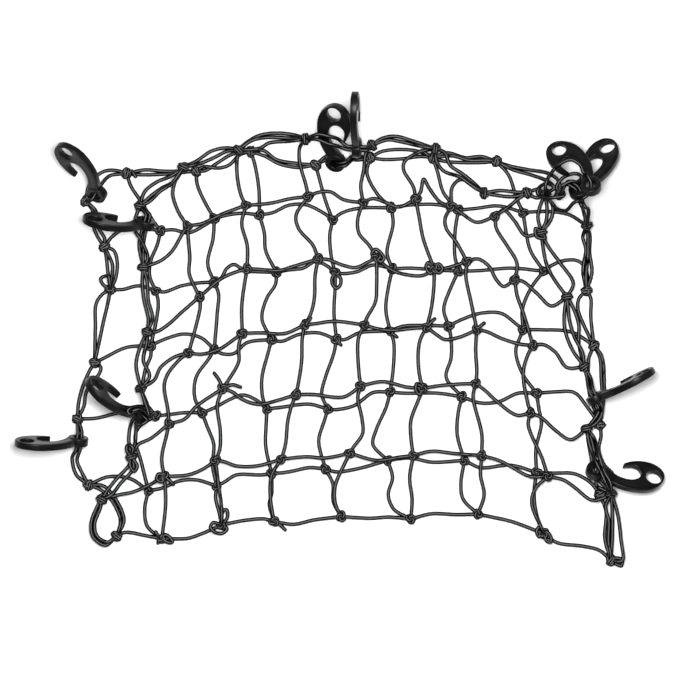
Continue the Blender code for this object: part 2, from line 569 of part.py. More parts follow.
def lay(knots, strands, hooks):
    """Lay every strand over what is already there; fine points per strand."""
    ground = Map()
    for key, p in knots.items():
        if key[0] != "T":
            ground.mark(p.x, p.y, KNOT_R, p.z + KNOT_UP)
    t_done = False
    laid = []
    for a, b, layer, bends in strands:
        if layer == "T" and not t_done:
            t_done = True
            for key, p in knots.items():
                if key[0] == "T":
                    p.z = max(p.z, KNOT_UP + 0.3
                              + ground.height(p.x, p.y, KNOT_R + 0.8))
            for key, p in knots.items():
                if key[0] == "T":
                    ground.mark(p.x, p.y, KNOT_R, p.z + KNOT_UP)
        rest = REST_B if layer == "B" else REST_T
        ctrl, fixed, own = [knots[a].copy()], [], set()
        for q in bends:
            if q[0] == "eye":
                own.add(q[1])
                pts = through_eye(hooks[q[1]], q[2], ctrl[-1])
                fixed.append((hooks[q[1]]["eye"], EYE_ROOM))
                ctrl += pts
            else:
                ctrl.append(Vector((q[0], q[1], *(q[2:] or (rest,)))))
        if b:
            ctrl.append(knots[b].copy())
        pts = curve(ctrl)
        ends = [(knots[k].xy, KNOT_R + 1.8) for k in (a, b) if k]
        need = []
        for p in pts:
            free = (all((p.xy - e).length > r for e, r in ends)
                    and all((p - e).length > r for e, r in fixed))
            t = ground.height(p.x, p.y, 1.05) if free else 0
            need.append(t + FLAT + STEP_UP if t > 0 else 0)
        for name, h in hooks.items():
            if name not in own and "hook_b_" + name[7:] in own:
                continue
            i = 0
            while i < len(pts):
                p = pts[i]
                top = h["top"].height(p.x, p.y, 1.7)
                if top <= 0 or any((p - e).length <= r for e, r in fixed):
                    i += 1
                    continue
                if name in own:
                    if 2 * p.z > top + CEILING - h["low"].height(p.x, p.y,
                                                                 1.7):
                        need[i] = max(need[i], top + FLAT + 2 * STEP_UP)
                    i += 1
                    continue
                j = i
                while j < len(pts) and h["top"].height(pts[j].x, pts[j].y,
                                                     1.7) > 0:
                    j += 1
                under = min(CEILING - h["low"].height(p.x, p.y, 1.7)
                            for p in pts[i:j])
                high = max(max(p.z, n) for p, n in zip(pts[i:j], need[i:j]))
                if under < high + FLAT + STEP_UP:
                    for k in range(i, j):
                        need[k] = max(need[k], h["top"].height(
                            pts[k].x, pts[k].y, 1.7) + FLAT + 2 * STEP_UP)
                i = j
        run = [0.0]
        for p, q in zip(pts, pts[1:]):
            run.append(run[-1] + (q.xy - p.xy).length)
        run = np.array(run)
        need = np.array(need)
        for i, p in enumerate(pts):
            if all((p - e).length > r for e, r in fixed):
                lift = float((need - 1.0 * np.maximum(
                    0, np.abs(run - run[i]) - 1.5)).max())
                p.z = max(p.z, lift)
        for p in pts:
            if all((p.xy - e).length > r for e, r in ends):
                ground.mark(p.x, p.y, 1.2, p.z + FLAT)
        laid.append((a, b, pts, [e for e, r in fixed]))
    return laid


def level(along):
    """A level direction square to a cord."""
    return Vector((0, 0, 1)).cross(along).normalized()


def corners(at, along, side):
    """Four corners of the cord about a point."""
    s = (side - along * side.dot(along)).normalized()
    n = along.cross(s)
    return [at + s * i * FLAT + n * j * FLAT
            for i, j in ((-1, -1), (1, -1), (1, 1), (-1, 1))]


def hull(points):
    """Corner numbers of the faces of the tightest skin round the points."""
    tmp = bmesh.new()
    order = {tmp.verts.new(p * MM): i for i, p in enumerate(points)}
    bmesh.ops.convex_hull(tmp, input=list(order))
    faces = [[order[v] for v in f.verts] for f in tmp.faces]
    tmp.free()
    return faces


def leave(points, centre, away):
    """Where a strand is first a given distance from a knot's middle."""
    for i, p in enumerate(points):
        if (p - centre).length >= away:
            return i
    return len(points) - 1


def spread(angles):
    """Turn the cords leaving one knot until they are a least angle apart."""
    order = sorted(range(len(angles)), key=lambda i: angles[i])
    a = [angles[i] for i in order]
    n = len(a)
    least = min(TURN, 2 * math.pi / n * 0.97) if n > 1 else 0
    for _ in range(400):
        moved = 0
        for i in range(n if n > 1 else 0):
            j = (i + 1) % n
            gap = (a[j] - a[i]) + (2 * math.pi if j == 0 else 0)
            if gap < least - 1e-4:
                a[i] -= (least - gap) / 2
                a[j] += (least - gap) / 2
                moved = 1
        if not moved:
            break
    out = [0.0] * n
    for k, i in enumerate(order):
        out[i] = a[k]
    return out


def net_mesh(knots, laid, tol):
    """One skin over all strands and knots, in metres."""
    bm = bmesh.new()
    leaving = {k: [] for k in knots}
    for s, (a, b, pts, eyes) in enumerate(laid):
        leaving[a].append((s, 0))
        if b:
            leaving[b].append((s, 1))
    start = {}
    for key, ends in leaving.items():
        c = knots[key]
        dirs = []
        for s, e in ends:
            pts = laid[s][2] if e == 0 else laid[s][2][::-1]
            near, far = (leave(pts, c, KNOT_R + d) for d in (1, 4))
            d = pts[far] - c
            d.z = ((pts[near].z - c.z) * d.xy.length
                   / max(1, (pts[near] - c).xy.length))
            dirs.append(d)
        turned = spread([math.atan2(d.y, d.x) for d in dirs])
        r = max(KNOT_R, 1.35 / math.tan(max(0.3, 0.5 * min(
            TURN, 2 * math.pi / len(ends) * 0.97))) + 0.25)
        for steepest in (0.8, 0.6, 0.4, 0.25, 0.1):
            rings, base = [], []
            for (s, e), d, ang in zip(ends, dirs, turned):
                rise = d.z / max(d.xy.length, 1e-6)
                rise = max(-steepest, min(steepest, rise))
                way = Vector((math.cos(ang), math.sin(ang), rise)).normalized()
                along = way if e == 0 else -way
                rings += corners(c + way * r, along, level(along))
                base.append((c + way * r, along))
            low = min(KNOT_UP, c.z)
            skew = Vector((0.9, 0.5, 0)) if (key[1] + key[2]) % 2 else Vector(
                (0.5, -0.9, 0))
            points = rings + [c + Vector((0, 0, KNOT_UP)) + skew,
                              c + Vector((0, 0, KNOT_UP)) - skew,
                              c - Vector((0, 0, low))]
            faces = hull(points)
            ends_on = {f[0] // 4 for f in faces if len({i // 4 for i in f}) == 1
                       and max(f) < len(rings)}
            if len(ends_on) == len(ends):
                break
        else:
            print("knot", key, "hides a cord end")
        used = sorted({i for f in faces for i in f} | set(range(len(rings))))
        vert = {i: bm.verts.new(points[i] * MM) for i in used}
        for f in faces:
            if max(f) >= len(rings) or len({i // 4 for i in f}) > 1:
                bm.faces.new([vert[i] for i in f])
        for q, (s, e) in enumerate(ends):
            start[s, e] = ([vert[4 * q + i] for i in range(4)], *base[q])
    for s, (a, b, pts, eyes) in enumerate(laid):
        v0, p0, t0 = start[s, 0]
        i = leave(pts, knots[a], KNOT_R + 2)
        if b:
            v1, p1, t1 = start[s, 1]
            j = len(pts) - 1 - leave(pts[::-1], knots[b], KNOT_R + 2)
            line = simplify([p0] + pts[i:j + 1] + [p1], tol, eyes)
        else:
            line = simplify([p0] + pts[i:], tol, eyes)
        line = [p for k, p in enumerate(line) if k in (0, len(line) - 1)
                or (p - p0).length > 3.2 and not (b and (p - p1).length < 3.2)]
        last = len(line) - 1
        ways = [t0] + [((line[k] - line[k - 1]).normalized()
                        + (line[min(k + 1, last)] - line[k]).normalized()
                        ).normalized() for k in range(1, last + 1)]
        if b:
            ways[-1] = t1
        sides = [level(t0)]
        for k in range(1, last + 1):
            turn = ways[k - 1].rotation_difference(ways[k])
            sides.append(turn @ sides[-1])
        shift, twist = 0, 0
        if b:
            off = sides[-1]
            twist = math.atan2(t1.dot(off.cross(level(t1))),
                               off.dot(level(t1)))
            shift = round(twist / (math.pi / 2))
            twist -= shift * math.pi / 2
        prev = v0
        for k in range(1, last + 1):
            if b and k == last:
                now = [v1[(q - shift) % 4] for q in range(4)]
            else:
                now = [bm.verts.new(p * MM) for p in corners(
                    line[k], ways[k],
                    Matrix.Rotation(twist * k / last, 3, ways[k]) @ sides[k])]
            for q in range(4):
                bm.faces.new((prev[q], prev[(q + 1) % 4], now[(q + 1) % 4],
                              now[q]))
            prev = now
        if not b:
            bm.faces.new(prev[::-1])
    for v in bm.verts:
        v.co.z = max(v.co.z, 0)     # nothing goes through the ground
    bmesh.ops.recalc_face_normals(bm, faces=bm.faces)
    bmesh.ops.triangulate(bm, faces=bm.faces)
    return bm


def weld(obj, at):
    """Melt together the cords that touch, so the skin nowhere crosses."""
    seed = bpy.data.meshes.new("seed")
    bm = bmesh.new()
    bmesh.ops.create_cube(bm, size=MM)
    bmesh.ops.translate(bm, verts=bm.verts, vec=at)
    bm.to_mesh(seed)
    bm.free()
    cube = bpy.data.objects.new("seed", seed)
    bpy.context.scene.collection.objects.link(cube)
    cube.hide_render = True
    cube.display_type = "WIRE"
    mod = obj.modifiers.new("weld", "BOOLEAN")
    mod.operation = "UNION"
    mod.solver = "EXACT"
    mod.use_self = True
    mod.object = cube


def build():
    """The ten hooks in their places, and the net laid through them."""
    for o in list(bpy.data.objects):
        bpy.data.objects.remove(o, do_unlink=True)
    elastic = material("black elastic", (0.018, 0.018, 0.02), 0.6)
    plastic = material("black plastic", (0.012, 0.012, 0.013), 0.35)
    base = hook_mesh("hook")
    base.materials.append(plastic)
    hooks = {}
    for node, x, y, heading, pitch, roll, lift in HOOKS:
        u, v, w = frame_of(heading, pitch, roll)
        turn = Matrix((u, v, w)).transposed().to_4x4()
        low = min((turn @ p.co).z for p in base.vertices)
        eye = Vector((x, y, lift - low / MM))
        obj = bpy.data.objects.new(node, base)
        obj.matrix_world = Matrix.Translation(eye * MM) @ turn
        bpy.context.scene.collection.objects.link(obj)
        verts = [(obj.matrix_world @ p.co) / MM for p in base.vertices]
        tree = BVHTree.FromPolygons(verts, [tuple(f.vertices)
                                            for f in base.polygons])
        top, under = Map(), Map()
        for gx in range(int(min(q.x for q in verts)) - 1,
                        int(max(q.x for q in verts)) + 2):
            for gy in range(int(min(q.y for q in verts)) - 1,
                            int(max(q.y for q in verts)) + 2):
                hit = tree.ray_cast(Vector((gx, gy, 200)), Vector((0, 0, -1)))
                if hit[0] is None:
                    continue
                back = tree.ray_cast(Vector((gx, gy, -50)), Vector((0, 0, 1)))
                top.mark(gx, gy, 0.5, hit[0].z)
                under.mark(gx, gy, 0.5, CEILING - back[0].z)
        hooks[node] = dict(node=node, eye=eye, axes=(u, v, w), top=top,
                           low=under)
    knots, strands = knots_and_strands()
    laid = lay(knots, strands, hooks)
    bm = net_mesh(knots, laid, STRAIGHT)
    mesh = bpy.data.meshes.new("net")
    bm.to_mesh(mesh)
    bm.free()
    mesh.materials.append(elastic)
    net = bpy.data.objects.new("net", mesh)
    bpy.context.scene.collection.objects.link(net)
    weld(net, knots["F", 0, 4] * MM)


build()
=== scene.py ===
"""Folded elastic cargo net and its ten hooks: round braided cord, wound
knots and moulded hooks, on a pale floor under a soft light from above.

The tables are in millimetres, looking down, x to the right and y away.
"""

import itertools
import math

import bmesh
import bpy
import numpy as np
from mathutils import Matrix, Vector
from mathutils.bvhtree import BVHTree


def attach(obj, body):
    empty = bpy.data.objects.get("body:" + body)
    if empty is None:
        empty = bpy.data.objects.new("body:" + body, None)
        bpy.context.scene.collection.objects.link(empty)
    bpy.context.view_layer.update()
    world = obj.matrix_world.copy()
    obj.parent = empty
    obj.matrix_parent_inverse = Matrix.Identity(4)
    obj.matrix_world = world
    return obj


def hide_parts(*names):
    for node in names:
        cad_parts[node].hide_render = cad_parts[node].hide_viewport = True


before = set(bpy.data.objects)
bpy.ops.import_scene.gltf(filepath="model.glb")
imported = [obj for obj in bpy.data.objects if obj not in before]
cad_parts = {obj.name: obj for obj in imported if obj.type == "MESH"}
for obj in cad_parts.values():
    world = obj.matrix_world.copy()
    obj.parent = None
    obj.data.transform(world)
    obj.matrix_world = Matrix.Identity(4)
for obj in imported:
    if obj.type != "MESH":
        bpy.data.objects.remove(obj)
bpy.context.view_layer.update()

MM = 0.001
CORD = 3.2          # diameter of the elastic cord
ROUND = CORD / 2
TIGHT = 1.45        # radius of the cord where it is pulled tight
AIR = 0.05          # air kept where one cord crosses another
SIDES = 9           # corners round a cord
CAPS = ((0.6, 0.8), (0.95, 0.4))  # rounding of an end: how far on, how wide
STRAIGHT = 0.08     # a point this near to a straight line is left out
LONGEST = 6.0       # longest straight step along a cord
REST_B, REST_T = 1.6, 5.4  # height of the cords' centre line, per layer

KNOT_R = 4.3        # from a knot's middle to where its cords leave it
KNOT_UP = 3.1       # half height of a knot
KNOT_AIR = 0.3      # between an upper knot and what lies below it
HIGH_B, HIGH_T, HIGH_F = 3.1, 6.4, 3.3  # height of the knots' middles
WIND_R, WIND_WAVE, WIND_UP = 2.35, 1.1, 1.5  # winding of the cord in a knot
WIND_STEPS = 30
COLLAR_OUT, COLLAR_UP, COLLAR_LONG = 3.9, 2.2, 2.6  # half width, half height
COLLAR_TURNS, COLLAR_STEPS = 1.35, 21
LAST_ROW, LAST_COLUMN = 6, 8  # edge knots, which have a collar
NEAR = 9            # points off a knot at which a cord's way is read

KNOT_ROOM = KNOT_R + 1.8  # nearer its own knots nothing below counts
EYE_ROOM = 11.5     # nearer the eye it ties a cord isn't lifted
CORD_READ, CORD_MARK = 1.05, 1.2  # half widths for laying cord over cord
HOOK_READ = 1.7     # and cord over a hook
LEVEL = 1.5         # a lifted cord stays level this far, then drops
CEILING = 900       # a hook's underside is kept as a depth below this
RAYS = (200, -1), (-50, 1)  # heights a hook is looked at from, and which way

HOOK_T = 5.6        # hook plate thickness
EYE_R, BOSS_R = 4.0, 8.2  # eye in the tail, and the round boss about it
BOSS_T = 7.0        # the boss stands proud of the plate on both sides
GROOVE_IN = 2.1     # from the plate's edge to the inside of its groove
HEAD_END = 56.8     # from the eye to the end of the head
EYE_PULL = 0.8      # how far cords lie to the tail's side of the eye
OFF_FACE = 1.1      # air between the plate and a cord led off it
ON_EDGE = 0.6       # a hook whose face leans up less stands on edge
BEAK_TIP = (22.6, 9.2)  # corner of the outline, below

YARNS_ALONG, YARNS_ROUND = 3.2, 4.0  # to a cord's diameter, and round it
PAINTED_LIGHT_EDGE = 16.0    # how sharply the painted highlight gives way to painted shade at the cord's sides

VIEW = 557.6        # width of the view at the floor
VIEW_Y = -7.4       # the view's middle, away from the net's
CAMERA_UP = 6000.0
FILM = 36
# Lamps: name, place and width in metres, power in watts.
LAMPS = (
    ("above", (0, 0.1, 1.6), 0.45, 33),
    ("left", (-1.6, 0.6, 1.3), 0.9, 3),
    ("right", (1.6, -0.4, 1.3), 0.9, 2),
)

# Hooks: node, where its eye lies, and in degrees the heading and pitch of
# its shank and its roll about it.
HOOKS = (
    # node               eye x   eye y  head pitch  roll
    ("hook_b_left",     -214.4,  -90.0, -177,  31, -107),
    ("hook_t_left",     -163.6,  -68.6,  148,  28, -120),
    ("hook_t_corner_l", -159.5,   87.8,  178,  32, -114),
    ("hook_b_corner_l", -198.8,  112.7,  125,  32,  -49),
    ("hook_b_middle",     -3.5,  138.5,   92,  36,  164),
    ("hook_t_middle",     13.7,  149.8,   93,  44,  -98),
    ("hook_t_corner_r",  204.5,  117.7,  130, -36,   16),
    ("hook_b_corner_r",  194.9,  114.4,   55, -28,  -31),
    ("hook_b_right",     209.7,  -54.9,   26,  28,  -83),
    ("hook_t_right",     209.2, -114.4,   -8,  -6,  -33),
)

# Hook outline, one row per corner: along the shank from the eye, across it
# (+ is the beak's side).  It runs round the outside from the shank's root.
OUTLINE = (
    (6.0, -6.6), (13, -10.2), (21, -13.0), (29, -14.2), (37, -14.2),
    (44, -12.9), (50, -9.8), (54.6, -5.0), (56.8, 0.6), (55.8, 6.4),
    (51.6, 10.8), (46, 13.3), (39, 14.1), (31.5, 13.2), (25.5, 11.0),
    (22.6, 9.2), (22.2, 7.3), (26, 8.0), (31, 8.6), (34.6, 7.2),
    (37, 4.2), (37.4, 1.0), (35.6, -2.2), (31, -4.6), (25.5, -4.9),
    (19, -3.3), (13.5, -0.2), (8.4, 4.0),
)
HEAD_HOLE = (48.0, 0.3, 6.6, 5.8, -18)  # u, v, half length, half width, turn

# Fold row: the knots and the bends of the eight strands between them.
FOLD = dict(
    knots=((-183, -168), (-146, -170), (-97, -159), (-54, -156), (1, -152),
      (58, -154), (113, -150), (167, -166), (222, -188)),
    across=(((-176, -165), (-158, -168)), ((-125, -170), (-113, -166)),
      ((-80, -155.5), (-63, -154)), ((-38, -158.5), (-22, -155)),
      ((25, -153.5), (40, -152.5)), ((75, -149.8), (95, -150.5)),
      ((122, -152), (140, -156)), ((178, -173.5), (200, -176.5), (213, -180))),
)
# Rows of each layer, from the fold up: knots, then the bends of the strands
# across and of those down to the row below.  A bend with a name is the eye of
# that hook, and the number of the cord in it.
T_ROWS = (dict(
    knots=((-195, -138), (-144, -119), (-102, -106), (-48, -105), (8, -100),
      (60, -102), (116, -102), (170, -119), (222, -133)),
    across=(((-180, -134), (-170, -132), (-157, -126.5)),
      ((-125, -118), (-112, -113)), ((-95, -107), (-85, -110.5), (-68, -110.5)),
      ((-28, -103), (-12, -104)), ((30, -106), (48, -103.5)),
      ((75, -98.5), (95, -100.5)), ((130, -106), (140, -111), (155, -119)),
      ((183, -122), (192, -128), (206, -138.5), (215, -137))),
    down=(((-199, -144), (-204, -158), (-202, -169), (-192, -175.5)),
      ((-143, -130), (-143, -145)), ((-100, -122), (-97, -145)),
      ((-56, -118), (-57, -137)), ((4, -108), (-4, -127), (-4, -141)),
      ((57, -120), (59, -138)), ((115, -118), (118, -134)),
      ((160, -129), (157, -141)), ((223, -150), (223, -166))),
), dict(
    knots=((-171, -103), (-140, -76), (-96, -47), (-36, -52), (17, -45), (68, -47),
      (111, -43), (156, -67), (202, -80)),
    across=(((-165, -93), (-155, -88)), ((-127, -72), (-118, -62)), ((-88, -50),
      (-80, -56), (-67, -60), (-50, -56.5)), ((-22, -52), (3, -54)),
      ((35, -41.5), (55, -46)), ((80, -45), (97, -43.5)), ((118, -48), (130, -59),
      (145, -69)), ((165, -71), (176, -81), (189, -89))),
    down=(((-173, -110), (-183, -121), (-191, -131)), ((-142, -85), (-146, -104)),
      ((-100.5, -60), (-98, -82), (-98.5, -97)), ((-40, -62), (-43, -75),
      (-44.5, -92)), ((14.5, -54), (18, -72), (18.5, -84), (11, -95)),
      ((64, -57), (58, -73), (58, -87)), ((109, -54), (116, -84)), ((154, -76),
      (157, -86), (165, -103)), ((203.5, -92), (205.5, -103), (206.8, -111),
      (209, -118), (214.5, -125))),
), dict(
    knots=((-163, -47), (-124, -18), (-80, -2), (-29, 5), (20, 5), (71, 3),
      (112, 1), (158, -12), (200, -29)),
    across=(((-152, -40), (-147, -30), (-135, -21)), ((-113, -19), (-98, -14.5),
      (-87, -7)), ((-65, -1.5), (-45, -2)), ((-20, 6), (-5, 8)),
      ((30, 2), (42, 0.5), (58, 2)), ((79, -3), (86, -7), (98, -5)), ((120, -0.5),
      (132, -6), (146, -10.5)), ((166, -11), (176, -17), (186, -30))),
    down=((("t_left", 1), (-172, -79), (-173, -90)), ((-131, -23), (-141, -35),
      (-144, -45), (-141, -64)), ((-83, -12), (-83, -25), (-90, -38)), ((-31, -6),
      (-31.5, -25), (-34, -42)), ((15, -6), (15.5, -34)),
      ((66, -6), (64, -17), (65, -36)), ((111, -15), (112, -34)), ((154, -19),
      (150, -34), (153, -56)), ((202, -37), ("b_right", 0), (211, -68))),
), dict(
    knots=((-158, -1), (-115, 28), (-76, 51), (-18, 59), (30, 60), (77, 51),
      (104, 57), (143, 42), (186, 28)),
    across=(((-150, -0.5), (-141, 5), (-130, 15)), ((-97, 43), (-86, 48)),
      ((-66, 50.5), (-50, 49.5), (-38, 53)), ((-10, 58.5), (2, 54), (13, 52),
      (24, 57)), ((34, 56), (43, 49.5), (55, 46), (68, 45.5)),
      ((84, 51), (94, 53.5)), ((113, 59), (122, 53), (128, 42), (134, 36.5)),
      ((150, 40.5), (162, 30), (173, 20.5))),
    down=(((-162.5, -10), (-167, -27)), ((-114.5, 20), (-118, 4)),
      ((-78, 40), (-80.5, 20)), ((-20.5, 45), (-21, 27), (-24, 14)),
      ((30, 40), (29, 24), (22, 11)), ((77, 40), (75, 20)), ((103, 45), (107, 25)),
      ((145, 29), (150, 15)), ((184, 18), (184, 2), (190, -15))),
), dict(
    knots=((-161, 52), (-125, 86), (-77, 103), (-26, 110), (19, 105), (62, 108),
      (91, 102), (127, 94), (165, 81)),
    across=(((-146, 58), (-137, 66), (-130, 78)), ((-113, 88), (-96, 96)),
      ((-68, 103.5), (-55, 105), (-40, 108.5)), ((-18, 113.5), (-8, 114),
      (3, 107.5)), ((27, 108.5), (38, 105), (48, 101.5)), ((66, 114),
      (68.5, 124.5), (73, 117), (82, 105.5)), ((100, 96), (112, 89)),
      ((134, 99), (143, 90), (152, 78))),
    down=(((-162, 40), (-160.5, 25), (-157, 10)), ((-124, 72), (-123, 60),
      (-123.5, 47)), ((-80.5, 88), (-76, 70)), ((-36, 95), (-34, 84), (-22, 70)),
      ((14.5, 92), (15.5, 80), (24, 70)), ((65, 92), (68, 76)),
      ((86, 92), (87, 84), (95, 73)), ((128, 84), (136, 71), (145, 55)),
      ((166, 70), (170, 52), (179, 37))),
), dict(
    knots=((-164, 102), (-128, 134), (-83, 148), (-28, 157, 16), (26, 152),
      (78, 149), (118, 113), (153, 113), (168, 112, 8)),
    across=(((-160, 114), (-150, 122), (-138, 127)), ((-117, 139.5), (-105, 147.5),
      (-92, 150)), ((-77, 154), (-65, 160.5), (-50, 162), (-37, 160.5)),
      ((-18, 160.5, 18), (-10, 159, 23.5), (-2, 157, 20), ("t_middle", 1)),
      ((34, 157.5), (45, 159.5), (60, 155.5)), ((86, 146), (90, 136), (100, 129),
      (110, 121)), ((130, 115), (142, 114)), ((162, 116),)),
    down=((("t_corner_l", 1), (-164.5, 70)), ((-134, 125), (-137, 113),
      (-133, 99)), ((-84.5, 138), (-84, 125), (-81, 111)), ((-33, 150), (-33, 138),
      (-28, 120)), ((21, 145), (19.5, 132), (17, 119)), ((66, 147), (53, 139),
      (52, 132), (60, 118)), ((110, 119, 11), (99, 124, 9), (92, 118)),
      ((147, 109), (137, 101)), ((164, 103), (162, 93))),
))
B_ROWS = (dict(
    knots=((-206, -126), (-157, -131), (-101, -127), (-56, -117), (-12, -113),
      (39, -106), (102, -106), (161, -116), (213, -134)),
    across=(((-190, -119.5), (-172, -121)), ((-145, -128.5), (-132, -123),
      (-118, -122)), ((-95, -124), (-85, -118), (-65, -118)),
      ((-42, -115.5), (-25, -112)), ((-3, -115.5), (14, -113)),
      ((57, -104), (75, -107.5)), ((115, -112), (140, -110)), ((175, -116.5),
      (192, -117), (205, -124))),
    down=(((-194, -127), (-185, -136), (-177, -155)), ((-160, -145), (-158, -160)),
      ((-102, -137), (-99, -149)), ((-56, -133), (-58, -142)),
      ((-6, -125), (-5.5, -140)), ((43, -120), (39.5, -134), (44, -146)),
      ((99, -125), (101, -138)), ((159, -132), (161, -150)),
      ((218, -148), (217, -170))),
), dict(
    knots=((-215, -72), (-151, -69.5), (-113, -67), (-60, -64), (-10, -64),
      (41, -50), (100, -54), (161, -51), (213, -77)),
    across=(((-200, -71.5), (-180, -67), (-168, -67)),
      ((-140, -68.5), (-128, -67)), ((-103, -63), (-90, -56), (-79, -52.5),
      (-68, -57)), ((-48, -62.5), (-25, -60)), ((-3, -64.5), (12, -61),
      (27, -50.5)), ((52, -51), (80, -51)), ((115, -59), (130, -58), (146, -51)),
      ((175, -50), (192, -50.5), (203, -63))),
    down=((("b_left", 1), (-219.5, -104), (-216, -118)), ((-165, -79), (-168, -88),
      (-163, -107)), ((-109, -78), (-103.5, -93), (-104.5, -110)),
      ((-60.5, -76), (-61, -94)), ((-13, -74), (-17.5, -90)),
      ((38, -62), (30, -80), (27, -93)), ((97, -66), (96, -85)), ((163, -64),
      (165, -76), (160.5, -97)), ((214, -86), (212, -97), (216, -109),
      (224, -119))),
), dict(
    knots=((-201, -26), (-155, -12), (-103, -15), (-56, -7), (-3, -7), (41, 0),
      (89, 4), (150, 1), (208, -12)),
    across=(((-193, -22), (-175, -13.5)), ((-143, -6.5), (-128, -2.5),
      (-114, -5.5)), ((-97, -18.5), (-87, -18.5), (-76, -9.5)), ((-48, -8.5),
      (-34, -3), (-18, -1.5)), ((4, -7), (16, -1.5)), ((52, 4), (72, 4.5)),
      ((100, 9.5), (115, 14.5), (132, 14.5), (144, 6)), ((165, 1), (190, -1))),
    down=(((-205, -32), (-211, -46), (-214.5, -60)), ((-155, -20), (-160, -33),
      (-161, -55)), ((-107, -22), (-118, -38), (-119, -55)), ((-59, -18),
      (-64, -38), (-63.5, -54)), ((-5, -18), (-12, -38), (-15, -52)),
      ((44, -9), (43.5, -32)), ((91, -6), (91, -22), (87, -38)), ((148, -4),
      (144, -16), (149, -34)), ((204, -22), (203.5, -38), (205, -55), (210, -68))),
), dict(
    knots=((-188, 34), (-151, 33), (-103, 40), (-52, 48), (-4, 48), (43, 51),
      (97, 49), (167, 49), (202, 33)),
    across=(((-178, 34), (-165, 37)), ((-144, 32), (-130, 37), (-115, 39.5)),
      ((-97, 44), (-93, 51), (-87, 54.5), (-78, 49.5), (-66, 48.5)), ((-42, 50),
      (-30, 51.5), (-20, 57), (-11, 53.5)), ((2, 47), (14, 48.5), (27, 54)),
      ((58, 51.5), (80, 50)), ((115, 49.5), (140, 51.5)), ((174, 54), (185, 58),
      (196, 57), (202, 49))),
    down=(((-195, 30), (-200, 22), (-200.5, 4)), ((-149, 24), (-150, 12)),
      ((-99.5, 30), (-100.5, 16)), ((-53, 38), (-60, 27), (-64, 10)),
      ((-4, 36), (-5, 16)), ((40, 38), (37.5, 18)), ((91, 36), (85, 18)),
      ((157, 36), (149.5, 18)), ((196, 27), (195, 18), (202, 0))),
), dict(
    knots=((-193, 69), (-147, 82), (-103, 92), (-66, 95), (-6, 91), (42, 101),
      (97, 99), (150, 97), (202, 86, 11)),
    across=(((-187, 77), (-178, 83), (-160, 84)), ((-137, 83), (-124, 80.5),
      (-112, 86)), ((-92, 95), (-80, 96.5)), ((-55, 97), (-42, 103), (-28, 103.5),
      (-14, 97)), ((1, 96.5), (15, 100.5)), ((55, 103), (80, 103.5)),
      ((112, 100.5), (130, 102.5)), ((168, 98), (187, 95.5))),
    down=(((-191.5, 60), (-190, 46)), ((-150, 70), (-155, 58), (-156, 45)),
      ((-104, 76), (-108.5, 55)), ((-62, 80), (-61, 66)), ((-8.5, 78), (-7, 60)),
      ((43.5, 88), (38.5, 64)), ((94.5, 84), (94, 62)), ((152, 84), (156, 66)),
      ((199, 77), (201.5, 67), (199, 50))),
), dict(
    knots=((-208.5, 106.5), (-175, 129), (-118, 131), (-73, 147), (-20, 136),
      (25, 142), (76, 142), (128, 139), (179.5, 111, 22)),
    across=(((-206.5, 117), (-203, 124), (-193, 131), (-183, 131.5)),
      ((-160, 132), (-145, 131)), ((-110, 131.5), (-100, 138), (-88, 145)),
      ((-62, 143.5), (-50, 137), (-35, 134)), (("b_middle", 0), (10.5, 140.5, 7),
      (14, 140, 4)), ((34, 147), (50, 148.8), (65, 147)), ((88, 146), (103, 142),
      (116, 143)), ((140, 135), (155, 132, 4), (170, 129, 12), (179, 122, 20))),
    down=(((-203, 99), (-201.5, 84), (-198, 76)), ((-171, 118), (-163, 106),
      (-155, 93)), ((-117, 120), (-111, 106)), ((-69.5, 135), (-66.5, 116)),
      ((-17, 125), (-12, 107)), ((22, 130), (30, 113)), ((80, 130), (85, 113)),
      ((138, 128), (145, 108)), (("b_corner_r", 0), (199, 98, 18))),
))

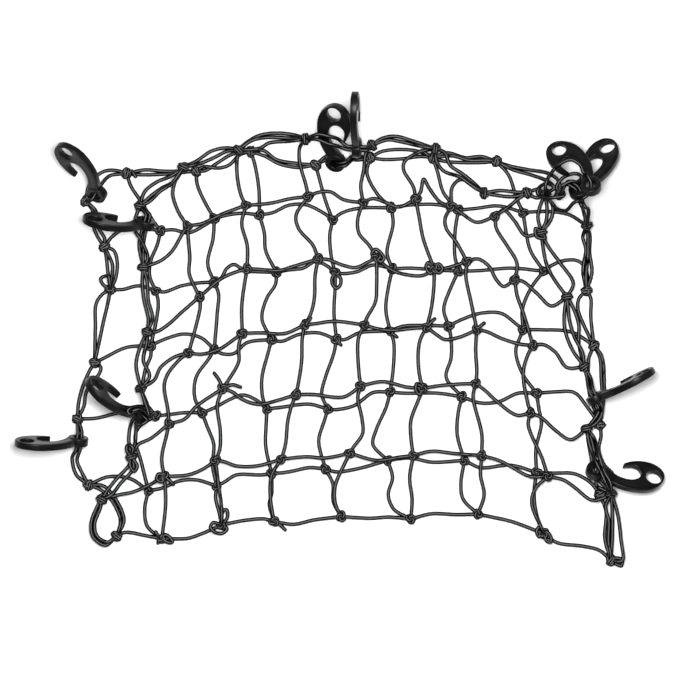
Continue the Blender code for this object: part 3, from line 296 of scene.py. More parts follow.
# The second cord of the doubled edge, by layer: the knot (row, column) at each
# end, then the bends.  Row 0 is the fold.
SECOND = {"T": (
    ((1, 0), (0, 0), ((-196.3, -145), (-201, -158), (-199, -168),
      (-190.5, -172.8))),
    ((2, 0), (1, 0), ((-169, -112), (-180, -125), (-187, -134))),
    ((3, 0), (2, 0), (("t_left", 0), (-167, -82), (-168, -93))),
    ((4, 0), (3, 0), ((-158, -8), (-161, -24), (-156, -37))),
    ((5, 0), (4, 0), ((-158, 40), (-157, 25), (-153.5, 10))),
    ((6, 0), (5, 0), (("t_corner_l", 0), (-161, 70))),
    ((6, 0), (6, 1), ((-155, 110.5), (-146, 117), (-135, 123))),
    ((6, 1), (6, 2), ((-115, 137), (-103, 142), (-93, 147))),
    ((6, 2), (6, 3), ((-72, 156), (-60, 158.5), (-42, 158))),
    ((6, 3), (6, 4), ((-18, 156.3, 17), (-10, 153, 22.5), (-2, 151, 19),
      ("t_middle", 0))),
    ((6, 4), (6, 5), ((39, 156.5), (50, 155), (65, 151.5))),
    ((6, 5), (6, 6), ((79, 139), (85, 131), (98, 126), (110, 117.5))),
    ((6, 6), (6, 7), ((130, 110.8), (142, 110))),
    ((6, 7), (6, 8), ((161, 109),)),
    ((6, 8), (5, 8), ((169.5, 100), (169, 91))),
    ((6, 8), (5, 8), ((174, 103), (173, 92))),
    ((5, 8), (4, 8), ((170, 70), (180, 56), (191, 39))),
    ((4, 8), (3, 8), ((191, 19), (195.5, 5), (195.5, -10))),
    ((3, 8), (2, 8), ((205, -38), ("b_right", 1), (214, -69), (209, -76))),
    ((2, 8), (1, 8), ((206, -89), (208.5, -99), ("t_right", 1), (212, -128))),
    ((1, 8), (0, 8), ((227, -148), (230, -170), (231, -188))),
), "B": (
    ((1, 0), (0, 0), ((-196.5, -130), (-187, -139), (-179.8, -156))),
    ((2, 0), (1, 0), (("b_left", 0), (-215.5, -106), (-211, -117))),
    ((3, 0), (2, 0), ((-196, -30), (-201, -41), (-208, -50), (-210, -62))),
    ((4, 0), (3, 0), ((-190.5, 22), (-194, 7), (-198, -12))),
    ((5, 0), (4, 0), ((-185.5, 66), (-182.5, 56), (-184, 43))),
    ((6, 0), (5, 0), ((-200, 98), (-197.5, 84), (-193, 76))),
    ((6, 0), (6, 1), (("b_corner_l", 1), (-189, 127), (-182, 128.5))),
    ((6, 1), (6, 2), ((-163, 128), (-140, 128.8))),
    ((6, 2), (6, 3), ((-112, 134.5), (-100, 133.5), (-91, 136), (-82, 144.5))),
    ((6, 3), (6, 4), ((-63, 148), (-52, 140.5), (-35, 137.3))),
    ((6, 4), (6, 5), (("b_middle", 1), (10.5, 143.5, 7), (14, 143.3, 4))),
    ((6, 5), (6, 6), ((36, 140.5), (52, 141.2), (66, 143))),
    ((6, 6), (6, 7), ((86, 139), (100, 138), (116, 138))),
    ((6, 7), (6, 8), ((142, 132), (156, 128, 4), (169, 123, 12), (175, 118, 20))),
    ((6, 8), (5, 8), (("b_corner_r", 1), (203, 98, 18))),
    ((5, 8), (4, 8), ((205, 77), (204.5, 65), (206.5, 48))),
    ((4, 8), (3, 8), ((205.5, 27), (205.5, 12))),
    ((3, 8), (2, 8), ((213, -22), (214, -38), (215, -58))),
)}

# Third cords along the edge, small loops that stand out of knots and loose
# ends, in the same columns.  Last in each layer comes the loose cord at the
# far right corner: the turn that holds the corner hook, the free end on it.
EXTRA = {"T": (
    ((6, 0), (6, 1), ((-156, 106), (-147, 114.5), (-138, 120.5))),
    ((6, 2), (6, 3), ((-66, 149.5), (-58, 154), (-40, 155.5))),
    ((6, 0), (5, 0), ((-168, 91), (-168, 83), (-162, 73), (-157.5, 60))),
    ((3, 0), None, ((-157, -64.5, 13), (-162, -61.8, 15), (-168, -62, 15),
      (-173.3, -64.8, 13), (-171.5, -67.8, 13), (-166, -66, 16.5),
      (-161.5, -69, 17), (-157.6, -73, 15), (-161.3, -75.8, 12))),
    ((3, 0), None, ((-156, -70, 13), (-160, -65.5, 17), (-164, -63.8, 18),
      (-168.5, -65, 16))),
    ((4, 8), (3, 8), ((188, 8), (192, -5), (198.5, -18))),
    ((2, 8), (1, 8), ((208, -88), (212, -103), (216, -115), (221, -124))),
    ((6, 8), None, ((175, 117, 13), (169, 120.5, 14), (163, 117.5, 14),
      (161.5, 113, 14), (165, 109.5, 15), (172, 108.8, 16), (177, 109.3, 15.5),
      (182, 110, 14))),
    ((1, 8), (0, 8), ((217.5, -144), (220.3, -156), (219.8, -172), (221.5, -182))),
    ((1, 1), None, ((-140, -122, 8.5), (-136.5, -125.5, 7))),
    ((1, 1), (1, 1), ((-148.5, -117, 8.5), (-150, -121.5, 8),
      (-145.5, -123.5, 8))),
    ((2, 0), (2, 0), ((-174.5, -98, 9), (-174, -93.5, 9), (-169.5, -95, 9))),
    ((2, 0), (2, 0), ((-172, -110, 8), (-168.5, -115, 8), (-166, -110.5, 8))),
    ((2, 8), (1, 8), ((203.5, -90), (207.5, -103), (213.5, -116), (218, -126))),
    ((2, 2), None, ((-99, -40, 6), (-103, -34.5, 4))),
    ((2, 2), None, ((-88, -44, 7), (-81.5, -46, 5))),
    ((2, 5), (2, 5), ((63, -43, 8), (62, -48, 8.5), (65, -52, 8))),
    ((3, 5), None, ((74.5, 7, 8), (77.5, 10, 7))),
    ((3, 3), None, ((-26, 8, 8), (-24, 10.5, 7))),
    ((3, 6), None, ((115.5, 4.5, 8), (118, 6.5, 7))),
    ((4, 4), (4, 4), ((26, 63, 8), (29, 67, 8.5), (33.5, 64, 8.5), (36, 59.5, 8),
      (33, 56.5, 8))),
    ((4, 5), (4, 5), ((72, 56, 8), (70.5, 51.5, 8.5), (74, 47, 8))),
    ((4, 5), (4, 5), ((81, 47.5, 8), (84, 51, 8.5), (80.5, 55, 8))),
    ((5, 8), (5, 8), ((160, 84, 8), (161, 77, 8.5), (168, 76, 8))),
    ((6, 8), None, ((168, 120, 12), (172, 128, 24), (179, 136, 38),
      (188, 139.5, 42), (195.5, 135, 44), (198, 129, 46), ("t_corner_r", 0),
      (190, 104, 24), (184, 98, 15), (177, 100, 12), (174, 104, 14))),
), "B": (
    ((6, 6), (6, 7), ((92, 143.5), (106, 139.8), (120, 140))),
    ((5, 0), (4, 0), ((-190, 63), (-186.5, 54), (-187, 44))),
    ((5, 8), (4, 8), ((203, 78), (203, 62), (201.5, 45))),
    ((3, 8), (2, 8), ((214, -20), (216.5, -38), (216, -55))),
    ((0, 2), (0, 2), ((-104, -157, 5), (-106, -161, 4.5), (-102, -165, 3.5),
      (-96.5, -165.8, 3.5), (-92.5, -162, 4))),
    ((0, 2), (0, 2), ((-97, -152, 5), (-95.5, -147, 5.5), (-92.8, -146.5, 5.5),
      (-92.3, -153, 5))),
    ((0, 1), (0, 1), ((-143, -166.9, 5), (-139, -169.3, 5), (-137.2, -172.8, 4.5),
      (-140, -173.4, 4.5), (-144, -171.4, 4.5))),
    ((0, 1), None, ((-149, -167.5, 4), (-151, -164.5, 3))),
    ((0, 1), None, ((-148.6, -171.5, 3.5), (-149, -173.6, 3))),
    ((0, 7), (0, 7), ((163.5, -160.5, 5), (161, -163.5, 5), (163, -168.5, 4.5))),
    ((0, 7), (0, 7), ((169.5, -164.5, 5), (173, -169.5, 4.5), (172.3, -173, 4),
      (169.2, -172, 4))),
    ((0, 8), None, ((227, -186, 4), (231, -187.5, 4), (230.5, -192.3, 3),
      (226, -191, 2))),
    ((0, 3), None, ((-49, -159, 3), (-45, -163, 1.4))),
    ((3, 5), None, ((44, -3, 4), (46.5, -4.8, 3))),
    ((3, 4), None, ((-1, -9.5, 4), (0.8, -11.5, 3))),
    ((4, 4), (4, 4), ((-6.8, 42, 4.5), (-5.6, 37, 4.5), (-2.6, 35, 4.5),
      (0.2, 37.5, 4.5), (0.6, 43, 4.5))),
    ((4, 0), (4, 0), ((-194, 38, 4), (-196, 43, 4.5), (-190, 45, 4.5))),
    ((4, 0), None, ((-189, 29, 3), (-190, 23.5, 1.4))),
    ((6, 6), None, ((71, 145, 3.5), (67, 147.5, 1.4))),
    ((6, 1), None, ((-171, 131, 4), (-167.5, 126.5, 1.4))),
    ((6, 8), None, ((177, 118, 22), (182, 125, 24), (190, 128.3, 26),
      (195.5, 127.5, 26), (197, 124.5, 26), (193.5, 121.5, 24.5), (188, 122, 22),
      (181, 118.5, 20))),
)}


def frame_of(heading, pitch, roll):
    """Axes of a hook: along its shank, toward its beak, out of its face."""
    h, b, r = (math.radians(a) for a in (heading, pitch, roll))
    u = Vector((math.cos(h) * math.cos(b), math.sin(h) * math.cos(b),
                math.sin(b)))
    left = Vector((-math.sin(h), math.cos(h), 0))
    v = left * math.cos(r) + u.cross(left) * math.sin(r)
    return u, v, u.cross(v)


class Map:
    """Heights over the ground in 1 mm squares, for laying cord over cord."""

    def __init__(self):
        self.x0, self.y0 = -290, -230
        self.top = np.zeros((580, 460))

    def cells(self, x, y, r):
        """The squares within r of a place."""
        xs = np.arange(math.ceil(x - r), math.floor(x + r) + 1)
        ys = np.arange(math.ceil(y - r), math.floor(y + r) + 1)
        gx, gy = np.meshgrid(xs, ys, indexing="ij")
        keep = (gx - x) ** 2 + (gy - y) ** 2 <= r * r
        return gx[keep] - self.x0, gy[keep] - self.y0

    def mark(self, x, y, r, z):
        """Raise the squares about a place to z."""
        i, j = self.cells(x, y, r)
        self.top[i, j] = np.maximum(self.top[i, j], z)

    def height(self, x, y, r):
        """The highest square about a place."""
        i, j = self.cells(x, y, r)
        return float(self.top[i, j].max()) if len(i) else 0.0


def curve(points, step=1.0):
    """Smooth line through the points (centripetal Catmull-Rom), fine steps."""
    p = [points[0] * 2 - points[1]] + points + [points[-1] * 2 - points[-2]]
    out = [points[0].copy()]
    for i in range(1, len(p) - 2):
        t = [0.0]
        for k in range(3):
            t.append(t[-1] + max(1e-4, (p[i + k] - p[i + k - 1]).length) ** 0.5)
        n = max(1, int(math.ceil((p[i + 1] - p[i]).length / step)))
        for s in range(1, n + 1):
            u = t[1] + (t[2] - t[1]) * s / n
            a1, a2, a3 = (p[i + k - 1].lerp(
                p[i + k], (u - t[k]) / (t[k + 1] - t[k])) for k in range(3))
            b1 = a1.lerp(a2, (u - t[0]) / (t[2] - t[0]))
            b2 = a2.lerp(a3, (u - t[1]) / (t[3] - t[1]))
            out.append(b1.lerp(b2, (u - t[1]) / (t[2] - t[1])))
    return out


def through_eye(hook, k, coming):
    """Points of a cord through a hook's eye, in order of travel.  Cords 0
    and 1 lie side by side in it."""
    node, base, (u, v, w) = hook["node"], hook["eye"], hook["axes"]
    on_edge = abs(w.z) < ON_EDGE
    du = (2 * k - 1) * (1.9 if on_edge else 1.7)
    half = HOOK_T / 2 + ROUND + OFF_FACE
    if on_edge:
        local = [(du - EYE_PULL, 0, d) for d in (-7.5, -3, 3, 7.5)]
    elif node == "hook_t_corner_r":
        local = [(10, -2, half), (5.5, -1.5, half), (1.2, -1, 2.4),
                 (-0.5, 1.5, -2.4), (-1.5, 5.5, -half), (-2, 9, -half)]
    elif node == "hook_b_corner_r":
        local = [(du, 10, half), (du, 6, half), (du + 0.2, 1.6, 2.4),
                 (du / 2 - 1, -du - 0.4, -2.6), (-5.6, -4 - du, -half - 0.4),
                 (-9, -8 - du, -half)]
    else:
        us, side, up = [du] * 6, 1, 1 if w.z > 0 else -1
        if node == "hook_b_corner_l":
            us, up = (0, 0, 0, 1, 4, 8), 1
        elif node == "hook_b_middle":
            us, side, up = [du + a for a in (-1.5, -0.5, 0, 0, 1.5, 3)], -1, 1
        local = [(a, side * b, up * c) for a, b, c in zip(
            us, (9.5, 5.6, 1.6, -1.6, -5.6, -9.5),
            (half, half, 2.4, -2.4, -half, -half))]
    points = [base + u * a + v * b + w * c for a, b, c in local]
    back_first = (points[-1] - coming).length < (points[0] - coming).length
    if back_first and not node.endswith("corner_r"):
        points.reverse()
    if on_edge:
        for q in (points[0], points[-1]):
            q.z = 0.4 * base.z + 0.6 * q.z
    for q in points:
        q.z = max(q.z, REST_B)
    return points


def knot_key(layer, row, column):
    """The key of a knot; the fold's row is one for both layers."""
    return (layer if row else "F", row, column)


def knots_and_strands():
    """Knots {key: place} and strands {layer: [(key, key or None, bends)]}."""
    knots = {("F", 0, c): Vector((x, y, HIGH_F))
             for c, (x, y) in enumerate(FOLD["knots"])}
    strands = {"B": [(("F", 0, c), ("F", 0, c + 1), bends)
                     for c, bends in enumerate(FOLD["across"])], "T": []}
    for layer, rows, high in (("B", B_ROWS, HIGH_B), ("T", T_ROWS, HIGH_T)):
        for r, row in enumerate(rows, 1):
            for c, (x, y, *z) in enumerate(row["knots"]):
                knots[layer, r, c] = Vector((x, y, *(z or (high,))))
            for way, on, up in (("across", 1, 0), ("down", 0, -1)):
                strands[layer] += [
                    ((layer, r, c), knot_key(layer, r + up, c + on), bends)
                    for c, bends in enumerate(row[way])]
        strands[layer] += [
            (knot_key(layer, *a), b and knot_key(layer, *b), bends)
            for a, b, bends in SECOND[layer] + EXTRA[layer]]
    return knots, strands


def clear(p, places, room):
    """True where a point is farther than this from all of the places."""
    return all((p - q).length > room for q in places)


def planned(start, end, layer, bends, hooks):
    """Fine points of a strand before it is lifted, and the hooks it ties."""
    rest = REST_B if layer == "B" else REST_T
    points, tied = [start.copy()], []
    for bend in bends:
        if isinstance(bend[0], str):
            tied.append("hook_" + bend[0])
            points += through_eye(hooks[tied[-1]], bend[1], points[-1])
        else:
            x, y, *z = bend
            points.append(Vector((x, y, *(z or (rest,)))))
    if end is not None:
        points.append(end.copy())
    return curve(points), tied


def over_hook(need, points, hook, tied, eyes):
    """Add to a strand's needed heights where it has to go over a hook: one
    tied to it at each point nearer the hook's top, any other wherever it
    can't pass under for the whole crossing."""
    tops = [hook["top"].height(p.x, p.y, HOOK_READ) for p in points]
    lows = [CEILING - hook["low"].height(p.x, p.y, HOOK_READ) if t > 0
            else CEILING for p, t in zip(points, tops)]
    i = 0
    while i < len(points):
        j = i + 1
        if tops[i] <= 0 or not clear(points[i], eyes, EYE_ROOM):
            over = False
        elif tied:
            over = 2 * points[i].z > tops[i] + lows[i]
        else:
            while j < len(points) and tops[j] > 0:
                j += 1
            high = max(max(p.z, n) for p, n in zip(points[i:j], need[i:j]))
            over = min(lows[i:j]) < high + ROUND + AIR
        if over:
            need[i:j] = [max(n, t + ROUND + 2 * AIR)
                         for n, t in zip(need[i:j], tops[i:j])]
        i = j


def lift(points, need, eyes):
    """Raise the points to what they need, easing off one in one beside it."""
    run = [0.0]
    for p, q in zip(points, points[1:]):
        run.append(run[-1] + (q.xy - p.xy).length)
    run, need = np.array(run), np.array(need)
    for i, p in enumerate(points):
        if clear(p, eyes, EYE_ROOM):
            beside = np.maximum(0, np.abs(run - run[i]) - LEVEL)
            p.z = max(p.z, float((need - beside).max()))


def lay(knots, strands, hooks):
    """Lay each strand over what is already there, the lower layer first.
    Gives the strands' end knots and fine points."""
    ground, laid = Map(), []
    for layer in "BT":
        own = [p for k, p in knots.items() if (k[0] == "T") == (layer == "T")]
        if layer == "T":
            for p in own:
                below = ground.height(p.x, p.y, KNOT_R + 0.8)
                p.z = max(p.z, KNOT_UP + KNOT_AIR + below)
        for p in own:
            ground.mark(p.x, p.y, KNOT_R, p.z + KNOT_UP)
        for a, b, bends in strands[layer]:
            points, tied = planned(knots[a], knots.get(b), layer, bends, hooks)
            ends = [knots[k].xy for k in (a, b) if k]
            eyes = [hooks[name]["eye"] for name in tied]
            need = [0] * len(points)
            for i, p in enumerate(points):
                if clear(p.xy, ends, KNOT_ROOM) and clear(p, eyes, EYE_ROOM):
                    top = ground.height(p.x, p.y, CORD_READ)
                    need[i] = top + ROUND + AIR if top > 0 else 0
            for name, hook in hooks.items():
                # an upper hook isn't met by the cord that ties the one below
                if name in tied or "hook_b_" + name[7:] not in tied:
                    over_hook(need, points, hook, name in tied, eyes)
            lift(points, need, eyes)
            for p in points:
                if clear(p.xy, ends, KNOT_ROOM):
                    ground.mark(p.x, p.y, CORD_MARK, p.z + ROUND)
            laid.append((a, b, points))
    return laid


def hook_places():
    """Each hook's eye, axes and heights, off its solid in the frame."""
    hooks = {}
    for node, x, y, heading, pitch, roll in HOOKS:
        u, v, w = frame_of(heading, pitch, roll)
        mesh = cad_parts[node].data
        verts = [p.co / MM for p in mesh.vertices]
        reach = max(p.dot(u) for p in verts) - HEAD_END
        eye = Vector((x, y, (reach - u.x * x - u.y * y) / u.z))
        tree = BVHTree.FromPolygons(
            verts, [tuple(f.vertices) for f in mesh.polygons])
        top, low = Map(), Map()
        xs, ys = (range(int(min(c)) - 1, int(max(c)) + 2) for c in (
            [q.x for q in verts], [q.y for q in verts]))
        for gx, gy in itertools.product(xs, ys):
            upper, lower = (tree.ray_cast((gx, gy, z), (0, 0, way))[0]
                            for z, way in RAYS)
            if upper is not None:
                top.mark(gx, gy, 0.5, upper.z)
                low.mark(gx, gy, 0.5, CEILING - lower.z)
        hooks[node] = dict(
            node=node, eye=eye, axes=(u, v, w), top=top, low=low)
    return hooks


def ways_along(points, closed):
    """Direction of a line at each of its points."""
    n = len(points)
    ways = []
    for i in range(n):
        a = points[i - 1] if i or closed else points[i]
        b = points[(i + 1) % n] if i < n - 1 or closed else points[i]
        ways.append((b - a).normalized())
    return ways


def sides_along(ways):
    """Side and up at each point of a line, carried on without a twist."""
    side = Vector((0, 0, 1)).cross(ways[0])
    side = side.normalized() if side.length > 0.1 else Vector((1, 0, 0))
    out = []
    for i, way in enumerate(ways):
        if i:
            side = ways[i - 1].rotation_difference(way) @ side
        side = (side - way * side.dot(way)).normalized()
        out.append((side.copy(), way.cross(side)))
    return out


class Cords:
    """A mesh of round cords.  Its map runs along and round each of them."""

    def __init__(self):
        self.verts, self.faces, self.maps = [], [], []

    def ring(self, at, side, up, r):
        """Corners round a cord; returns the first's number."""
        start = len(self.verts)
        for k in range(SIDES):
            a = 2 * math.pi * k / SIDES
            out = side * math.cos(a) + up * math.sin(a)
            self.verts.append((at + out * r) * MM)
        return start

    def skin(self, a, b, far_a, far_b, shift=0):
        """Faces from one ring to the next, turned by this many corners."""
        for k in range(SIDES):
            n, m = k + 1, (k - shift) % SIDES
            self.faces.append((a + k, a + n % SIDES, b + (m + 1) % SIDES, b + m))
            self.maps.append(((far_a, k / SIDES), (far_a, n / SIDES),
                              (far_b, n / SIDES), (far_b, k / SIDES)))

    def cord(self, points, r=ROUND, closed=False):
        """Sweep a round cord along the points, its ends rounded or joined."""
        ways = ways_along(points, closed)
        sides = sides_along(ways)
        far = [0.0]
        for p, q in zip(points, points[1:]):
            far.append(far[-1] + (q - p).length / CORD)
        caps = () if closed else CAPS
        rings = [(self.ring(points[0] - ways[0] * r * on, *sides[0], r * share),
                  -on / 2) for on, share in caps[::-1]]
        rings += [(self.ring(p, *s, r), d)
                  for p, s, d in zip(points, sides, far)]
        rings += [(self.ring(points[-1] + ways[-1] * r * on, *sides[-1],
                             r * share), far[-1] + on / 2)
                  for on, share in caps]
        for (a, far_a), (b, far_b) in zip(rings, rings[1:]):
            self.skin(a, b, far_a, far_b)
        if closed:
            # turned, so that the last ring's corners meet the first's
            first, (side, up) = sides[0][0], sides[-1]
            turn = math.atan2(first.dot(up), first.dot(side))
            self.skin(rings[-1][0], rings[0][0], far[-1],
                      far[-1] + (points[0] - points[-1]).length / CORD,
                      round(turn / (2 * math.pi / SIDES)) % SIDES)
            return
        for (start, d), way in ((rings[0], -1), (rings[-1], 1)):
            order = range(SIDES)[::way]
            self.faces.append(tuple(start + k for k in order))
            self.maps.append(tuple((d, k / SIDES) for k in order))

    def mesh(self, name):
        """One smooth mesh of the cords."""
        mesh = bpy.data.meshes.new(name)
        mesh.from_pydata(self.verts, [], self.faces)
        layer = mesh.uv_layers.new(name="along")
        flat = [c for corner in self.maps for uv in corner for c in uv]
        layer.data.foreach_set("uv", flat)
        mesh.shade_smooth()
        return mesh


def thin(points):
    """Leave out points that lie near the straight line between others."""
    a, b = points[0], points[-1]
    d = b - a
    n = d.length_squared or 1e-9
    worst, at = 0.0, 0
    for i in range(1, len(points) - 1):
        s = min(1, max(0, (points[i] - a).dot(d) / n))
        off = (points[i] - a - d * s).length
        if off > worst:
            worst, at = off, i
    if worst <= STRAIGHT:
        if d.length <= LONGEST or len(points) < 3:
            return [a, b]
        at = len(points) // 2
    return thin(points[:at + 1])[:-1] + thin(points[at:])


def wound(centre, turn, size, mirror):
    """Middle line of the cord in a knot: it winds twice round, over and
    under itself three times."""
    out = []
    for k in range(WIND_STEPS):
        t = 2 * math.pi * k / WIND_STEPS
        r = WIND_R * size + WIND_WAVE * math.cos(3 * t)
        p = Vector((r * math.cos(2 * t) * 1.08, r * math.sin(2 * t) * 0.9,
                    WIND_UP * math.sin(3 * t) * mirror))
        p.rotate(Matrix.Rotation(turn, 3, "Z"))
        out.append(centre + p)
    return out


def collar(centre, along):
    """Middle line of the cord wound round the bundle at an edge knot."""
    side = Vector((-along.y, along.x, 0)).normalized()
    high = min(COLLAR_UP, centre.z - ROUND)
    out = []
    for k in range(COLLAR_STEPS + 1):
        t = 2 * math.pi * (COLLAR_TURNS * k / COLLAR_STEPS + 0.12)
        out.append(centre + side * COLLAR_OUT * math.cos(t)
                   + Vector((0, 0, high)) * math.sin(t)
                   + along * (k / COLLAR_STEPS - 0.5) * COLLAR_LONG)
    return out


def main_way(key, laid):
    """Level direction that most of the cords at a knot follow."""
    ways = [(p[NEAR] - p[0]) if a == key else (p[-NEAR - 1] - p[-1])
            for a, b, p in laid if key in (a, b) and len(p) > NEAR + 3]
    way = max(ways, key=lambda d: sum(
        abs(d.normalized().dot(e.normalized())) for e in ways))
    way.z = 0
    return way.normalized()


def net_piece(hooks):
    """The whole net: cords between the knots, knots, and the edge's collars."""
    knots, strands = knots_and_strands()
    laid = lay(knots, strands, hooks)
    cords = Cords()
    for a, b, points in laid:
        for p in points:
            p.z = max(p.z, ROUND)       # nothing goes through the floor
        cords.cord(thin(points))
    rng = np.random.default_rng(5)
    for key, place in knots.items():
        turn, size = rng.uniform(0, math.pi), rng.uniform(0.95, 1.15)
        mirror = 1 if rng.uniform() < 0.5 else -1
        cords.cord(wound(place, turn, size, mirror), r=TIGHT, closed=True)
        if key[1] == LAST_ROW or key[2] in (0, LAST_COLUMN):
            cords.cord(collar(place, main_way(key, laid)), r=TIGHT)
    return placed("elastic_net", cords.mesh("elastic_net"))


def placed(name, data):
    """A new object at the origin."""
    obj = bpy.data.objects.new(name, data)
    bpy.context.scene.collection.objects.link(obj)
    return obj


def only(obj):
    """Select one object alone and make it the active one."""
    bpy.ops.object.select_all(action="DESELECT")
    obj.select_set(True)
    bpy.context.view_layer.objects.active = obj


def apply(obj, kind, **values):
    """Add a modifier with these values and apply it."""
    mod = obj.modifiers.new(kind.lower(), kind)
    for name, value in values.items():
        setattr(mod, name, value)
    only(obj)
    bpy.ops.object.modifier_apply(modifier=mod.name)


def cut(obj, other):
    """Cut one object out of another, and delete it."""
    apply(obj, "BOOLEAN", operation="DIFFERENCE", solver="EXACT", object=other)
    bpy.data.objects.remove(other, do_unlink=True)


def cylinder(radius, depth):
    """An upright post at the origin, in millimetres."""
    bpy.ops.mesh.primitive_cylinder_add(
        vertices=48, radius=radius * MM, depth=depth * MM)
    return bpy.context.active_object


def round_outline():
    """The hook's outline as a smooth line, sharp only at its beak's tip."""
    tip = OUTLINE.index(BEAK_TIP)
    out = []
    for run in (OUTLINE[:tip + 1], OUTLINE[tip + 1:]):
        line = curve([Vector((u, v, 0)) for u, v in run], 1.4)
        out += [p.xy for p in line]
    turns = [math.radians(54 + 18 * k) for k in range(15)]
    return out + [BOSS_R * Vector((math.cos(a), math.sin(a))) for a in turns]


def oval(u, v, half_l, half_w, turn=0, steps=32):
    """Corners of a round or oval hole."""
    t = Matrix.Rotation(math.radians(turn), 2)
    ring = [2 * math.pi * k / steps for k in range(steps)]
    return [Vector((u, v)) + t @ Vector(
        (half_l * math.cos(a), half_w * math.sin(a))) for a in ring]


def moved_in(loop, d, shares):
    """The loop moved to its left, each corner by its own share of d."""
    out = []
    for i, b in enumerate(loop):
        n1 = (b - loop[i - 1]).normalized()
        n2 = (loop[(i + 1) % len(loop)] - b).normalized()
        m = Vector((-(n1 + n2).y, (n1 + n2).x)).normalized()
        lean = max(0.6, m.dot(Vector((-n1.y, n1.x))))
        out.append(b + m * d * shares[i] / lean)
    return out


def groove_shares(outline, hole):
    """Share of its distance in that the groove keeps at each corner: less
    where the plastic is narrow."""
    shares = []
    for p in outline:
        room = min((p - q).length for q in hole) - 1.2
        if p.y > 5 and p.x < 28:
            room = min(room, 0.6 + 0.16 * (p.x - 22))
        shares.append(min(1, max(0.15, room / GROOVE_IN)))
    return shares


def plate():
    """The flat of the hook: round rims, and a fine groove inside the edge."""
    outline = round_outline()
    hole = oval(*HEAD_HOLE)
    eye = oval(0, 0, EYE_R + 0.5, EYE_R + 0.5)
    bm = bmesh.new()
    top = HOOK_T / 2
    rim = ((0.8, top), (0.38, top - 0.11), (0.1, top - 0.4), (0, top - 0.85))
    groove = ((GROOVE_IN, top), (GROOVE_IN - 0.15, top - 0.3),
              (GROOVE_IN - 0.5, top - 0.3), (GROOVE_IN - 0.65, top))
    walls = ((outline, groove + rim, groove_shares(outline, hole), 1),
             (hole, rim, [1] * len(hole), -1),
             (eye, rim[:1] + rim[-1:], [1] * len(eye), -1))
    edges = {1: [], -1: []}
    for loop, steps, share, inward in walls:
        steps = steps + tuple((d, -w) for d, w in steps[::-1])
        rows = [[bm.verts.new((q.x * MM, q.y * MM, w * MM))
                 for q in moved_in(loop, d * inward, share)] for d, w in steps]
        n = len(loop)
        for a, b in zip(rows, rows[1:]):
            for k in range(n):
                bm.faces.new((a[k], b[k], b[(k + 1) % n], a[(k + 1) % n]))
        for side, row in ((1, rows[0]), (-1, rows[-1])):
            edges[side] += [bm.edges.get((row[k], row[(k + 1) % n]))
                            for k in range(n)]
    for side in (1, -1):
        bmesh.ops.triangle_fill(bm, edges=edges[side], use_beauty=True)
    bmesh.ops.recalc_face_normals(bm, faces=bm.faces)
    mesh = bpy.data.meshes.new("plate")
    bm.to_mesh(mesh)
    bm.free()
    return placed("plate", mesh)


def moulded_hook():
    """The plate, and the thick round boss that the edge cord runs through;
    its eye is at the origin."""
    hook = plate()
    boss = cylinder(BOSS_R + 0.1, BOSS_T)
    cut(boss, cylinder(EYE_R, 20))
    apply(boss, "BEVEL", width=0.8 * MM, segments=3, limit_method="ANGLE",
          angle_limit=math.radians(60))
    only(hook)
    boss.select_set(True)
    bpy.ops.object.join()
    bpy.ops.object.shade_smooth_by_angle(angle=math.radians(35))
    return hook


def hook_pieces(hooks, plastic):
    """A moulded hook in the place of each hook's solid."""
    model = moulded_hook()
    model.data.materials.append(plastic)
    for node, hook in hooks.items():
        mesh = model.data.copy()
        turned = Matrix(hook["axes"]).transposed().to_4x4()
        mesh.transform(Matrix.Translation(hook["eye"] * MM) @ turned)
        piece = placed("moulded_" + node, mesh)
        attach(piece, "root")
        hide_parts(node)
    bpy.data.objects.remove(model, do_unlink=True)


class Paint:
    """A material and short ways to wire its nodes."""

    def __init__(self, name):
        self.mat = bpy.data.materials.new(name)
        self.mat.use_nodes = True
        self.nodes = self.mat.node_tree.nodes
        self.shader = self.nodes["Principled BSDF"]

    def link(self, a, b):
        """Wire an output to an input."""
        self.mat.node_tree.links.new(a, b)

    def node(self, kind, **values):
        """Add a node with these values."""
        n = self.nodes.new(kind)
        for name, value in values.items():
            setattr(n, name, value)
        return n

    def xyz(self, vector):
        """The three parts of a vector."""
        n = self.node("ShaderNodeSeparateXYZ")
        self.link(vector, n.inputs[0])
        return n.outputs

    def calc(self, operation, a, b=None):
        """A sum on numbers or outputs."""
        n = self.node("ShaderNodeMath", operation=operation)
        for socket, value in zip(n.inputs, (a, b)):
            if isinstance(value, (int, float)):
                socket.default_value = value
            elif value is not None:
                self.link(value, socket)
        return n.outputs[0]

    def noise(self, vector, scale, detail=3.0):
        """Soft random spots."""
        n = self.node("ShaderNodeTexNoise")
        n.inputs["Scale"].default_value = scale
        n.inputs["Detail"].default_value = detail
        self.link(vector, n.inputs["Vector"])
        return n.outputs["Fac"]

    def colour(self, value, *stops):
        """Colour the piece by a value: place and grey of each stop."""
        n = self.node("ShaderNodeValToRGB")
        for e, (at, grey) in zip(n.color_ramp.elements, stops):
            e.position = at
            e.color = (*grey, 1)
        self.link(value, n.inputs["Fac"])
        self.link(n.outputs["Color"], self.shader.inputs["Base Color"])

    def bump(self, height, strength, distance):
        """Dent the piece's surface by a value."""
        n = self.node("ShaderNodeBump")
        n.inputs["Strength"].default_value = strength
        n.inputs["Distance"].default_value = distance
        self.link(height, n.inputs["Height"])
        self.link(n.outputs["Normal"], self.shader.inputs["Normal"])


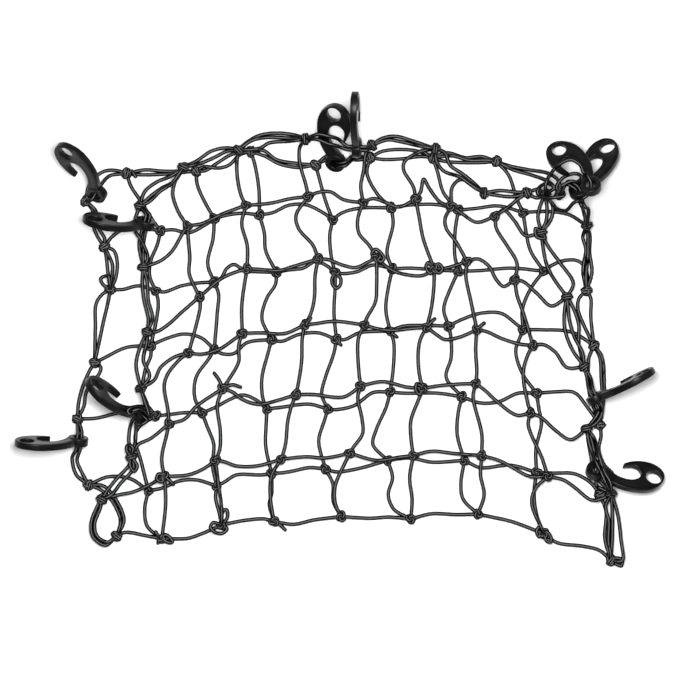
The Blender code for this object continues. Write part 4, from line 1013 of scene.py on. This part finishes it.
def painted_top_light(p):
    """Painted highlight and painted shade: 1 on the uppermost side of a cord, 0
    down its sides, and less where the cord is steep."""
    faces = p.xyz(p.node("ShaderNodeNewGeometry").outputs["Normal"])
    runs = p.xyz(p.node("ShaderNodeTangent",
                        direction_type="UV_MAP").outputs[0])
    flat = p.calc("MAXIMUM", 0.1, p.calc("SUBTRACT", 1.0, p.calc(
        "MULTIPLY", runs["Z"], runs["Z"])))
    upper = p.calc("DIVIDE", p.calc("MAXIMUM", faces["Z"], 0.0),
                   p.calc("SQRT", flat))
    return p.calc("MULTIPLY", flat, p.calc(
        "POWER", p.calc("MINIMUM", upper, 1.0), PAINTED_LIGHT_EDGE))


def braided_elastic():
    """Black yarn braided in two slants over the rubber; the side that lies up is
    painted paler as a painted highlight, and its sides are painted dark as painted
    shade."""
    p = Paint("black elastic")
    where = p.node("ShaderNodeTexCoord")
    split = p.xyz(where.outputs["UV"])
    along = p.calc("MULTIPLY", split["X"], YARNS_ALONG)
    across = p.calc("MULTIPLY", split["Y"], YARNS_ROUND)
    slants = [p.calc("SINE", p.calc("MULTIPLY", p.calc(op, along, across),
                                    2 * math.pi)) for op in ("ADD", "SUBTRACT")]
    yarn = p.calc("MULTIPLY_ADD", p.calc("MAXIMUM", *slants), 0.5)
    fluff = p.noise(where.outputs["Object"], 1600)
    patch = p.noise(where.outputs["Object"], 60)
    soft = p.calc("ADD", p.calc("MULTIPLY", fluff, 0.3),
                  p.calc("MULTIPLY", patch, 0.2))
    tone = p.calc("ADD", p.calc("MULTIPLY", yarn, 0.5), soft)
    tone = p.calc("ADD", p.calc("MULTIPLY", tone, 0.7), 0.3)
    # painted highlight on the cord's upper side and painted shade down its sides,
    # multiplied into the yarn's tone
    tone = p.calc("MULTIPLY", painted_top_light(p), tone)
    # the black stop is the painted shade of the sides, the grey stop the painted
    # highlight on top
    p.colour(tone, (0.25, (0.0005, 0.0005, 0.0005)), (0.8, (0.16, 0.16, 0.164)))
    p.link(p.calc("ADD", p.calc("MULTIPLY", fluff, 0.2), 0.35),
           p.shader.inputs["Roughness"])
    p.shader.inputs["Specular IOR Level"].default_value = 0.06
    p.bump(p.calc("ADD", yarn, p.calc("MULTIPLY", fluff, 0.3)), 0.2, 0.1 * MM)
    return p.mat


def moulded_plastic():
    """Black satin plastic with flow marks and a fine moulded grain."""
    p = Paint("black plastic")
    where = p.node("ShaderNodeTexCoord")
    grain = p.noise(where.outputs["Object"], 2600, 2.0)
    flow = p.noise(where.outputs["Object"], 110, 4.0)
    p.colour(flow, (0.35, (0.0012, 0.0012, 0.0012)), (0.7, (0.005, 0.005, 0.0055)))
    p.link(p.calc("ADD", p.calc("MULTIPLY", flow, 0.22), 0.22),
           p.shader.inputs["Roughness"])
    p.shader.inputs["Specular IOR Level"].default_value = 0.22
    p.bump(p.calc("ADD", grain, flow), 0.25, 0.08 * MM)
    return p.mat


def floor_and_light():
    """A pale floor, a wide soft light above and weaker ones to the sides."""
    bpy.ops.mesh.primitive_plane_add(size=8, location=(0, 0, -0.0002))
    floor = bpy.context.active_object
    floor.name = "floor"
    p = Paint("pale floor")
    p.shader.inputs["Base Color"].default_value = (0.9, 0.9, 0.9, 1)
    p.shader.inputs["Roughness"].default_value = 0.8
    floor.data.materials.append(p.mat)
    for name, place, size, power in LAMPS:
        light = bpy.data.lights.new(name, "AREA")
        light.size = size
        light.energy = power
        lamp = placed(name, light)
        lamp.location = place
        aim = (-Vector(place)).to_track_quat("-Z", "Y")
        lamp.rotation_euler = aim.to_euler()
        lamp.visible_camera = False
    world = bpy.data.worlds.new("studio")
    world.use_nodes = True
    back = world.node_tree.nodes["Background"]
    back.inputs["Color"].default_value = (1, 1, 1, 1)
    back.inputs["Strength"].default_value = 0.3
    bpy.context.scene.world = world
    bpy.context.scene.view_settings.view_transform = "Standard"


def camera():
    """Straight above, far off with a long lens."""
    data = bpy.data.cameras.new("camera")
    data.sensor_fit = "HORIZONTAL"
    data.sensor_width = FILM
    data.lens = FILM * CAMERA_UP / VIEW
    data.clip_end = 50
    cam = placed("camera", data)
    cam.location = (0, VIEW_Y * MM, CAMERA_UP * MM)
    bpy.context.scene.camera = cam


hooks = hook_places()
elastic = braided_elastic()
plastic = moulded_plastic()
net = net_piece(hooks)
net.data.materials.append(elastic)
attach(net, "root")
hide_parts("net")
hook_pieces(hooks, plastic)
floor_and_light()
camera()
